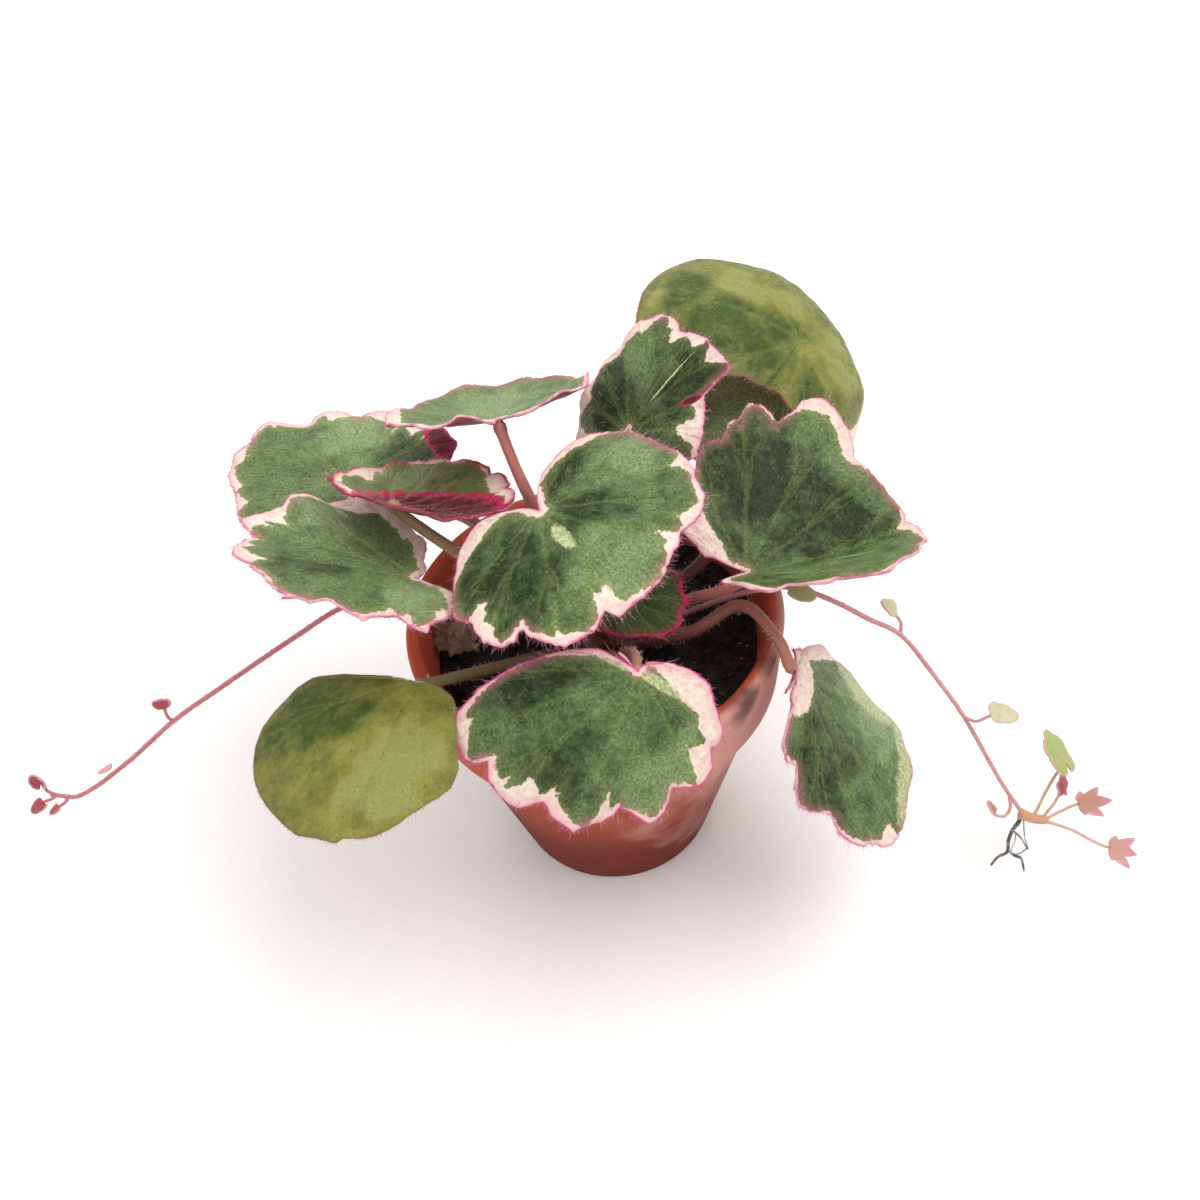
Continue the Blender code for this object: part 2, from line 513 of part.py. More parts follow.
def tube_bmesh(path, radii, sides):
    """Tapered round stem along a path: a sheet rolled round it, closed at both ends."""
    last = len(path) - 1
    across = []
    for i in range(last + 1):
        ahead = (path[min(i + 1, last)] - path[max(i - 1, 0)]).normalized()
        aside = across[-1] if across else ahead.orthogonal()
        across.append((aside - ahead * aside.dot(ahead)).normalized())
    bm = bmesh.new()
    bmesh.ops.create_grid(bm, x_segments=last, y_segments=sides, size=1.0, calc_uvs=False)
    for v in bm.verts:
        i = round((v.co.x + 1.0) / 2.0 * last)
        turn = (v.co.y + 1.0) * math.pi
        ahead = (path[min(i + 1, last)] - path[max(i - 1, 0)]).normalized()
        radius = radii[0] + (radii[1] - radii[0]) * i / last
        v.co = path[i] + radius * (
            math.cos(turn) * across[i] + math.sin(turn) * ahead.cross(across[i])
        )
    bmesh.ops.remove_doubles(bm, verts=bm.verts, dist=1e-3)
    bmesh.ops.holes_fill(bm, edges=bm.edges, sides=sides)
    bmesh.ops.recalc_face_normals(bm, faces=bm.faces)
    return bm


def join(base, pieces):
    """Make other closed pieces one body with the base."""
    for piece in pieces:
        piece.hide_render = True
        piece.display_type = "WIRE"
        union = base.modifiers.new(piece.name, "BOOLEAN")
        union.operation = "UNION"
        union.solver = "EXACT"
        union.object = piece


def stalk_top(leaf, thickness, radius):
    """Where a stalk ends just under the junction of its blade, and its direction there."""
    tip, _, up = leaf_frame(leaf["turn"])
    slope = math.radians(leaf["arrive"])
    drop = thickness + GAP + radius - leaf.get("rise", 0.0)
    top = Vector(leaf["at"]) - up * drop + tip * 0.5 * radius
    return top, tip * math.cos(slope) + up * math.sin(slope)


def build_leaves():
    """Every leaf of the rosette, as a blade and a stalk that rises from beside the crown."""
    green = material("leaf_green", (0.10, 0.22, 0.09), 0.45)
    olive = material("leaf_olive", (0.22, 0.26, 0.06), 0.45)
    stalk = material("stalk_pink_brown", (0.36, 0.16, 0.12), 0.55)
    for name, leaf in LEAVES.items():
        surface = olive if name in ("back_right", "front_left") else green
        steps = STEPS_PER_LOBE - 1 if name == "young" else STEPS_PER_LOBE
        bm = blade_bmesh(leaf, RINGS, steps, BLADE_THICKNESS)
        mesh_object(f"blade_{name}", bm, surface, 60)
        azimuth, height = (math.radians(a) for a in leaf["foot"])
        level = Vector((math.cos(azimuth), math.sin(azimuth), 0.0))
        away = level * math.cos(height) + Vector((0.0, 0.0, math.sin(height)))
        foot = Vector((0.0, 0.0, CROWN_MIDDLE)) + away * (CROWN_RADIUS + GAP)
        top, arrive = stalk_top(leaf, BLADE_THICKNESS, STALK_RADII[1])
        path = smooth_path([foot, *leaf.get("via", []), top], away, arrive, STALK_POINTS)
        mesh_object(f"stalk_{name}", tube_bmesh(path, STALK_RADII, STALK_SIDES), stalk)


def stem_path(points, step):
    """Smooth path of a free stem through its points."""
    knots = [Vector(p) for p in points]
    length = sum((b - a).length for a, b in zip(knots, knots[1:]))
    return smooth_path(knots, knots[1] - knots[0], knots[-1] - knots[-2], round(length / step))


def build_runners():
    """Two thin runners that arch out of the pot, the plantlet's short stem, and their leaves."""
    pink = material("runner_pink", (0.42, 0.14, 0.13), 0.5)
    orange = material("plantlet_orange", (0.55, 0.22, 0.10), 0.5)
    blade = material("bract_pink_green", (0.45, 0.30, 0.20), 0.5)
    stems = {}
    for name, points in RUNNERS.items():
        bm = tube_bmesh(stem_path(points, RUNNER_STEP), RUNNER_RADII, RUNNER_SIDES)
        stems[f"runner_{name}"] = mesh_object(f"runner_{name}", bm, pink)
    bm = tube_bmesh(stem_path(KNOT, TWIG_STEP), KNOT_RADII, RUNNER_SIDES)
    stems["knot"] = mesh_object("plantlet_right_stems", bm, orange)
    for name, leaf in SMALL_LEAVES.items():
        bm = blade_bmesh(leaf, SMALL_RINGS, STEPS_PER_LOBE, SMALL_BLADE_THICKNESS)
        mesh_object(name, bm, blade, 60)
        if "on" in leaf:
            top, arrive = stalk_top(leaf, SMALL_BLADE_THICKNESS, TWIG_RADII[1])
            knots = [Vector(p) for p in leaf["stalk"]] + [top]
            path = smooth_path(knots, knots[1] - knots[0], arrive, 3 * len(knots) - 2)
            twig = mesh_object(f"{name}_stalk", tube_bmesh(path, TWIG_RADII, TWIG_SIDES), pink)
            join(stems[leaf["on"]], [twig])


def build_roots():
    """Fine branched roots that hang under the plantlet."""
    grey = material("root_grey", (0.16, 0.15, 0.15), 0.8)
    pieces = [
        mesh_object(f"root_{i + 1}", tube_bmesh(stem_path(points, TWIG_STEP), radii, TWIG_SIDES), grey)
        for i, (points, radii) in enumerate(ROOTS)
    ]
    pieces[0].name = "plantlet_right_roots"
    join(pieces[0], pieces[1:])


def main():
    clear_scene()
    build_pot()
    build_soil()
    build_crown()
    build_leaves()
    build_runners()
    build_roots()


main()
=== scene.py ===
"""Strawberry begonia (Saxifraga stolonifera, its three-coloured form) in a small terracotta pot.

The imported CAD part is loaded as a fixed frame. Each operator below makes one piece, or one group of
like pieces, and puts it in place of the plain node. Tables are in millimetres and degrees, in the
part's own frame: +Z is up, and the foot of the pot is centred on the origin.
"""

import math
import random

import bmesh
import bpy
from bpy.props import FloatProperty, FloatVectorProperty, IntProperty, PointerProperty
from mathutils import Matrix, Vector, noise
from mathutils.kdtree import KDTree


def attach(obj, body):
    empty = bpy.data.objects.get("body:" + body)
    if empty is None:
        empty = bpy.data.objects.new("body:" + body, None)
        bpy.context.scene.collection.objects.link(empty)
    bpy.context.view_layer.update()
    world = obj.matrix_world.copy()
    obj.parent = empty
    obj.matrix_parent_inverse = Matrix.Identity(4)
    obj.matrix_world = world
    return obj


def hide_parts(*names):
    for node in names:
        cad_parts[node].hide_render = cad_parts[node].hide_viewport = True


bl_info = {
    "name": "Strawberry begonia in a terracotta pot",
    "version": (1, 0, 0),
    "blender": (4, 5, 0),
    "location": "3D View > Sidebar > Begonia",
    "description": "Fine leaves, hairs, stems, soil and pot over the packed CAD part",
    "category": "Object",
}

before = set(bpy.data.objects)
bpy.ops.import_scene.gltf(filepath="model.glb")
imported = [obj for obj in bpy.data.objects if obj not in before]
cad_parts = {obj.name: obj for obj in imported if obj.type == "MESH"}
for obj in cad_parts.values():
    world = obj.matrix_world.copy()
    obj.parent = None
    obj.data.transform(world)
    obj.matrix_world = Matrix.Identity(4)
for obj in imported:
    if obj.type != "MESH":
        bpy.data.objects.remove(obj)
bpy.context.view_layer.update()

# Millimetres in the part's metres, and the gap between the mix and the pot
MM = 0.001
GAP = 0.4

# Pot
RIM_RADIUS = 45.0
POT_HEIGHT = 79.0
COLLAR_HEIGHT = 19.0
COLLAR_FOOT_RADIUS = 44.0
COLLAR_STEP = 2.8
FOOT_RADIUS = 26.5
WALL = 3.8
FLOOR = 5.0
LIP = 1.3
DRAIN_RADIUS = 3.0
DRAIN_RING = 13.0
DRAIN_COUNT = 3
SHOULDER = POT_HEIGHT - COLLAR_HEIGHT
NECK_RADIUS = COLLAR_FOOT_RADIUS - COLLAR_STEP

# Soil and crown
SOIL_TOP = 68.0
CROWN_RADIUS = 8.0
CROWN_MIDDLE = 67.0
SCRAP_PLACE = (-34.5, 2.6, 71.6)
SCRAP_THICKNESS = 0.3

# Leaves, runners and the small leaves that they carry. The two blade thicknesses are those of the
# CAD solids, which the stalks reach up to; SMALL_SHEET is how thick a small leaf is drawn.
BLADE_THICKNESS = 0.9
STALK_RADII = (1.7, 1.25)
RUNNER_RADII = (0.65, 0.5)
KNOT_RADII = (1.4, 1.1)
TWIG_RADII = (0.42, 0.36)
SMALL_BLADE_THICKNESS = 0.7
SMALL_SHEET = 0.45
TWIG_SIDES = 10

# Camera, fitted to the photograph
CAMERA_LIFT = 47.0
CAMERA_ROLL = -6.5
CAMERA_TARGET = (1.8, 0.0, 81.7)
CAMERA_DISTANCE = 283.0

# Soft lights: name, place in metres, side and power. The room itself is white.
LIGHTS = [
    ("key_softbox", (0.5, -0.05, 1.1), 0.9, 8.5),
    ("fill_softbox", (-0.75, -0.35, 0.7), 1.0, 2.5),
    ("back_softbox", (-0.1, 0.9, 0.8), 1.0, 3.0),
]
WORLD_STRENGTH = 0.76

# Smears of soil on the lip: middle and reach
STAINS = [
    ((38.1, -24.1, 79.0), 4.5), ((28.8, -31.8, 76.0), 5.0), ((24.9, -29.3, 72.0), 6.0),
    ((33.2, -31.7, 78.0), 4.0),
]

# How many like shapes are made together before they are merged, the degrees between the points of
# a leaf's rim, and the millimetres between the places from which its markings are measured
TUFT = 40
RIM_STEP = 1.6
OUTLINE_STEP = 0.35

# The pale fringe widens the cream by this much to the eye, so the cream is drawn narrower by as much
CREAM_TRIM = 0.6

# Kinds of shader node: the type, the output that is read, and the settings
BUMP = ("ShaderNodeBump", 0, {})
CELLS = ("ShaderNodeTexVoronoi", 0, {})
FACT = ("ShaderNodeAttribute", "Fac", {})
JOIN = ("ShaderNodeCombineXYZ", 0, {})
MIX = ("ShaderNodeMix", 2, {"data_type": "RGBA"})
NOISE = ("ShaderNodeTexNoise", 0, {})
PLACE = ("ShaderNodeTexCoord", "Object", {})
RANGE = ("ShaderNodeMapRange", 0, {})
SMOOTH = ("ShaderNodeMapRange", 0, {"interpolation_type": "SMOOTHSTEP"})
SPLIT = ("ShaderNodeSeparateXYZ", 0, {})
SPLIT_COLOUR = ("ShaderNodeSeparateColor", 0, {})
VECTOR = ("ShaderNodeVectorMath", 0, {})
ABSOLUTE, ADD, FRACT, MAXIMUM, MINIMUM, MULTIPLY, MULTIPLY_ADD, SUBTRACT = (
    ("ShaderNodeMath", 0, {"operation": kind})
    for kind in ("ABSOLUTE", "ADD", "FRACT", "MAXIMUM", "MINIMUM", "MULTIPLY", "MULTIPLY_ADD", "SUBTRACT")
)

# Bristles on a hairy and on a smooth leaf, hairs per millimetre of a stalk, the share of a stalk
# near its foot that has none, and the seeds of what is scattered on the mix, leaves and stalks
BRISTLES = {"hairy": 750, "smooth": 160}
STALK_HAIRS_PER_MM = 5.0
BARE_FOOT = 0.1
SEEDS = {"crumbs": 11, "bark": 5, "grit": 23, "leaf hairs": 100, "stalk hairs": 300}

# Free stems: sides, tints of the stem and of its twigs, hairs per millimetre on each, their lengths
# against a stalk's hairs, and the seed of their places
STEM_LOOKS = {
    "runner_right": (12, (0.6, 0.6), (8.0, 5.0), (0.75, 0.5), 7),
    "runner_left": (12, (0.1, 0.1), (26.0, 5.0), (0.75, 0.5), 8),
    "knot": (16, (0.1, 0.6), (10.0, 6.0), (0.6, 0.6), 9),
}

# Values that a leaf of the rosette, and a small leaf, keep on their vertices for their finish
LEAF_FACTS = (
    "cream", "edge", "lobe", "share", "span", "tone", "pale", "red", "blush", "lime", "olive", "crimson",
)
SMALL_FACTS = ("edge", "share", "green", "pale", "red")

# Each leaf: where its stalk meets the blade, its turn (heading of the tip, pitch, roll), how it
# curls along and across (1/mm), how its halves fold up, the angles of the notches between its lobes,
# its margin wave, and where its stalk leaves the crown and how steeply it arrives.
LEAVES = {
    "centre": {
        "at": (-9, -2, 114), "turn": (-50, 12, 14), "along": 0.015, "across": 0.006, "fold": 0.0,
        "notches": [-100, -82, -57, -23, 0, 25, 48, 70, 92],
        "wave": (0.5, 7, 0.0), "foot": (190, 78), "arrive": 62,
    },
    "front": {
        "at": (8, -34, 95.5), "turn": (-112, -30, -25), "along": 0.020, "across": 0.020, "fold": 0.0,
        "notches": [-88, -66, -46, -22, 9, 34, 58, 80],
        "wave": (0.7, 8, 1.0), "foot": (282, 24), "arrive": 35,
    },
    "right": {
        "at": (35, -8, 94), "turn": (6, -6, -6), "along": -0.010, "across": -0.010, "fold": 0.5,
        "notches": [-95, -72, -52, -32, -12, 14, 34, 62, 93, 120],
        "wave": (0.6, 9, 0.4), "foot": (350, 36), "arrive": 50,
        "via": [(21, -2.8, 80.6)],
    },
    "back_right": {
        "at": (57, 47, 115), "turn": (58, 0, 38), "along": 0.023, "across": 0.023, "fold": 0.0,
        "notches": [-120, -80, -40, 0, 40, 80, 125],
        "wave": (0.4, 5, 0.0), "foot": (18, 22), "arrive": 100,
        "via": [(28, 12, 79), (47, 31, 88), (58.5, 46, 101)],
    },
    "back": {
        "at": (13, 29, 108), "turn": (66, 36, -25), "along": 0.003, "across": 0.013, "fold": 0.0,
        "notches": [-98, -75, -50, -32, -15, 6, 28, 52, 80],
        "wave": (0.8, 7, 0.6), "foot": (74, 44), "arrive": 55,
    },
    "back_shaded": {
        "at": (42, 34, 98.5), "turn": (75, 30, 5), "along": 0.010, "across": 0.012, "fold": 0.0,
        "notches": [-105, -70, -35, 0, 35, 70, 105],
        "wave": (0.6, 6, 0.2), "foot": (46, 28), "arrive": 55,
    },
    "back_left": {
        "at": (-17, 30, 115), "turn": (108, -33, 4), "along": -0.017, "across": -0.007, "fold": 0.09,
        "notches": [-120, -95, -70, -42, -14, 14, 42, 70, 95, 120],
        "wave": (0.7, 8, 0.9), "foot": (110, 40), "arrive": 70,
    },
    "far_left": {
        "at": (-57.2, 35.6, 97.3), "turn": (130, 4, 5), "along": 0.003, "across": 0.003, "fold": 0.0,
        "notches": [-105, -80, -58, -38, -15, 10, 32, 58, 84, 112],
        "wave": (1.0, 7, 0.0), "foot": (140, 26), "arrive": 35,
        "via": [(-17, 17, 81), (-28, 27, 87), (-42, 33, 89.5)],
    },
    "left_cup": {
        "at": (-43.5, 12.7, 108), "turn": (41, -41, -10), "along": -0.028, "across": -0.013,
        "fold": 0.0,
        "notches": [-95, -70, -48, -25, -5, 15, 35, 55, 80, 105],
        "wave": (0.5, 9, 0.0), "foot": (160, 48), "arrive": 150,
        "via": [(-30, 8, 95)],
    },
    "left": {
        "at": (-38.5, -4, 100), "turn": (178, 22, 19), "along": 0.001, "across": -0.001, "fold": 0.06,
        "notches": [-86, -56, -30, -8, 10, 27, 40, 58, 82, 106],
        "wave": (0.7, 8, 0.3), "foot": (192, 40), "arrive": 50,
    },
    "front_left": {
        "at": (-40.3, -21.8, 85.6), "turn": (-142, 0, 2), "along": 0.014, "across": 0.010, "fold": -0.06,
        "notches": [-50, -20, 10, 40, 66],
        "wave": (0.4, 5, 0.5), "foot": (214, 24), "arrive": 30,
    },
    "front_right": {
        "at": (44, -25, 79), "turn": (-22, -54, -6), "along": -0.002, "across": 0.024, "fold": 0.04,
        "notches": [-72, -56, -40, -24, -5, 14, 32, 50, 68],
        "wave": (0.6, 8, 0.2), "foot": (326, 24), "arrive": 15,
        "via": [(22, -9, 77), (34, -8, 83), (40.5, -19.5, 82.8)],
    },
    "young": {
        "at": (7, -3, 85.5), "turn": (-40, 2, 0), "along": 0.012, "across": -0.012, "fold": 0.1,
        "notches": [-95, -65, -38, -12, 12, 38, 65, 95],
        "wave": (0.5, 7, 0.0), "foot": (305, 62), "arrive": 60,
    },
}

# Stems of the runners and of the plantlet on the right: the points that each passes through.
RUNNERS = {
    "right": [(9.4, -1.2, 70), (22, -1, 75), (36, -4, 83), (46, -5, 84), (55, -6.5, 80),
              (64.5, -8.5, 73.6),
              (72, -10, 68.5), (79.5, -13.5, 58), (88, -19, 45), (97, -28, 28.5), (101.95, -32, 20.7)],
    "left": [(-9, 2, 69), (-22, 3, 75), (-36, 4, 82), (-46, 5.5, 84), (-59, 6.5, 82.5),
             (-70.5, 3.5, 78.2),
             (-91.5, -3.7, 70), (-104, -8, 64.7), (-116.5, -13.6, 58), (-130, -17.4, 51.8),
             (-136, -17.6, 54)],
}
KNOT = [(102.3, -32.2, 18.9), (105.5, -33.4, 17.8), (109, -34.6, 18)]

# Leaves of the runners and plantlets, as above but smaller; "stalk" gives the points of each
# stalk from its root in the stem "on", up to the blade.
SMALL_LEAVES = {
    "bract_right_1": {
        "at": (45, -7, 85.8), "turn": (-13, -14, 15), "along": 0.03, "across": 0.05,
        "edge": [(-80, 1), (-45, 3), (0, 7), (45, 3), (80, 1)],
        "notches": [-25, 25], "depth": 0.05, "wave": (0.1, 3, 0.0),
    },
    "bract_right_2": {
        "at": (71.3, -7, 74), "turn": (163, 39, 3), "along": 0.04, "across": 0.04,
        "edge": [(-100, 1.4), (-50, 3.4), (0, 4.6), (50, 3.2), (100, 1.4)],
        "notches": [-40, 40], "depth": 0.12, "wave": (0.2, 4, 0.0),
        "on": "runner_right", "stalk": [(72, -9.9, 68.5), (72.2, -8.6, 71)], "arrive": 60,
    },
    "bract_right_3": {
        "at": (93.4, -21.5, 48.2), "turn": (-11, -2, 5), "along": 0.02, "across": 0.03,
        "edge": [(-80, 1.6), (-40, 3.2), (0, 6.8), (40, 5.2), (75, 4.2), (110, 1.6)],
        "notches": [-30, 25, 60], "depth": 0.1, "wave": (0.2, 5, 0.0),
        "on": "runner_right", "stalk": [(88, -19, 45), (90.3, -21, 45.4)], "arrive": 30,
    },
    "bract_right_4": {
        "at": (95, -33.7, 23.2), "turn": (124, 44, 21), "along": 0.05, "across": 0.08,
        "edge": [(-90, 1), (-40, 2), (0, 3.6), (40, 2), (90, 1)],
        "notches": [-25, 25], "depth": 0.08, "wave": (0.1, 3, 0.0),
        "on": "runner_right", "stalk": [(99.4, -30, 24.4), (99.2, -32.4, 21.8), (97.2, -33.8, 21)],
        "arrive": 40,
    },
    "bract_left_1": {
        "at": (-105.4, -7, 68.4), "turn": (99, 54, -13), "along": -0.05, "across": -0.08,
        "edge": [(-90, 1.2), (-50, 3), (0, 2.6), (50, 3), (90, 1.2)],
        "notches": [-20, 20], "depth": 0.12, "wave": (0.2, 4, 0.0),
        "on": "runner_left", "stalk": [(-104, -8, 64.7), (-104.8, -7.8, 66.4)], "arrive": 60,
    },
    "bract_left_2": {
        "at": (-120.4, -14, 58), "turn": (-162, -8, 19), "along": 0.03, "across": 0.06,
        "edge": [(-80, 1), (-40, 2), (0, 3.6), (40, 2), (80, 1)],
        "notches": [-25, 25], "depth": 0.05, "wave": (0.1, 3, 0.0),
    },
    "plantlet_right_1": {
        "at": (114, -26, 30.4), "turn": (109, 29, 36), "along": 0.02, "across": 0.04,
        "edge": [(-155, 3), (-125, 4.6), (-90, 5.6), (-45, 7.4), (0, 9.4), (45, 7.4), (90, 5.6),
                 (125, 4.6), (155, 3)],
        "notches": [-100, -60, -20, 20, 60, 100], "depth": 0.09, "wave": (0.2, 6, 0.0),
        "on": "knot", "stalk": [(105.4, -33.3, 17.9), (106.6, -32.2, 19.6), (109.5, -29.1, 24.4)],
        "arrive": 60,
    },
    "plantlet_right_2": {
        "at": (113, -31.2, 24.2), "turn": (77, 46, 52), "along": 0.04, "across": 0.12,
        "edge": [(-110, 2), (-60, 3), (0, 5.4), (60, 3), (110, 2)],
        "notches": [-70, -30, 30, 70], "depth": 0.14, "wave": (0.2, 6, 0.0),
        "on": "knot", "stalk": [(107.6, -34.2, 17.9), (108.8, -33.2, 19.6), (110.3, -32.4, 21.4)],
        "arrive": 60,
    },
    "plantlet_right_3": {
        "at": (115.8, -33.9, 23.2), "turn": (-7, 8, 19), "along": -0.03, "across": -0.05,
        "edge": [(-95, 1.8), (-60, 4.2), (-30, 7), (0, 8.2), (30, 7), (60, 4.2), (95, 1.8)],
        "notches": [-52, -18, 18, 52], "depth": 0.2, "wave": (0.2, 5, 0.0),
        "on": "knot", "stalk": [(108.2, -34.4, 18), (110.2, -33.9, 19), (112.6, -33.7, 20.6)],
        "arrive": 20,
    },
    "plantlet_right_4": {
        "at": (121.6, -43.4, 17), "turn": (-25, -7, 16), "along": -0.03, "across": -0.05,
        "edge": [(-95, 1.6), (-60, 4.6), (-32, 7), (0, 6.8), (32, 7), (60, 4.6), (95, 1.6)],
        "notches": [-54, -18, 18, 54], "depth": 0.2, "wave": (0.2, 5, 0.0),
        "on": "knot", "stalk": [(107.6, -34.4, 17.6), (109.6, -35.4, 17.8), (113.8, -37.9, 17.8)],
        "arrive": 20,
    },
    "young_left_1": {
        "at": (-137, -17.2, 58.4), "turn": (112, 59, -43), "along": -0.3, "across": -0.3,
        "edge": [(-150, 2), (-90, 2.6), (0, 3), (90, 2.6), (150, 2)],
        "notches": [-90, -30, 30, 90], "depth": 0.12, "wave": (0.1, 5, 0.0),
        "on": "runner_left", "stalk": [(-135, -17.6, 53.7), (-136.4, -17.4, 55.4)], "arrive": 80,
    },
    "young_left_2": {
        "at": (-137.2, -20, 54.6), "turn": (-149, -20, -25), "along": 0.08, "across": 0.14,
        "edge": [(-100, 1.4), (-50, 2.2), (0, 4), (50, 2.2), (100, 1.4)],
        "notches": [-30, 30], "depth": 0.1, "wave": (0.1, 4, 0.0),
        "on": "runner_left", "stalk": [(-134.6, -17.6, 53.4), (-135.6, -18.7, 53.6)], "arrive": 30,
    },
    "young_left_3": {
        "at": (-134.2, -20.2, 52.4), "turn": (-148, -20, -25), "along": 0.08, "across": 0.14,
        "edge": [(-90, 1), (-40, 1.5), (0, 3), (40, 1.5), (90, 1)],
        "notches": [-25, 25], "depth": 0.08, "wave": (0.1, 3, 0.0),
        "on": "runner_left", "stalk": [(-132, -17.5, 52.4), (-133, -18.8, 51.8)], "arrive": 20,
    },
}

# Roots under the plantlet on the right: points and radii of each, the first one the thickest.
ROOTS = [
    ([(102.6, -32.5, 18.6), (102, -33.4, 16.7), (100.4, -34.6, 15.6), (99, -36.4, 13.6),
      (98.6, -38.1, 10.6), (96.1, -38.8, 9.9),
      (94.4, -39.7, 7.8)], (0.6, 0.3)),
    ([(98.7, -37.6, 11.2), (100.4, -38.8, 9.8), (102, -39.5, 9.2), (102.7, -41.5, 6.1)], (0.45, 0.28)),
    ([(100.2, -34.8, 15.5), (102.2, -36.4, 13.8), (103.6, -38.4, 11.6)], (0.25, 0.15)),
    ([(103.6, -38.2, 11.8), (101.6, -38.9, 10.6), (99.4, -38.8, 10.4)], (0.16, 0.12)),
    ([(103.2, -32.9, 18), (103.2, -36.2, 13.8), (103.9, -38.4, 11.2)], (0.16, 0.12)),
    ([(101.0, -35.2, 15.2), (100.6, -36.8, 12.8), (99.6, -37.8, 11.0)], (0.14, 0.1)),
]

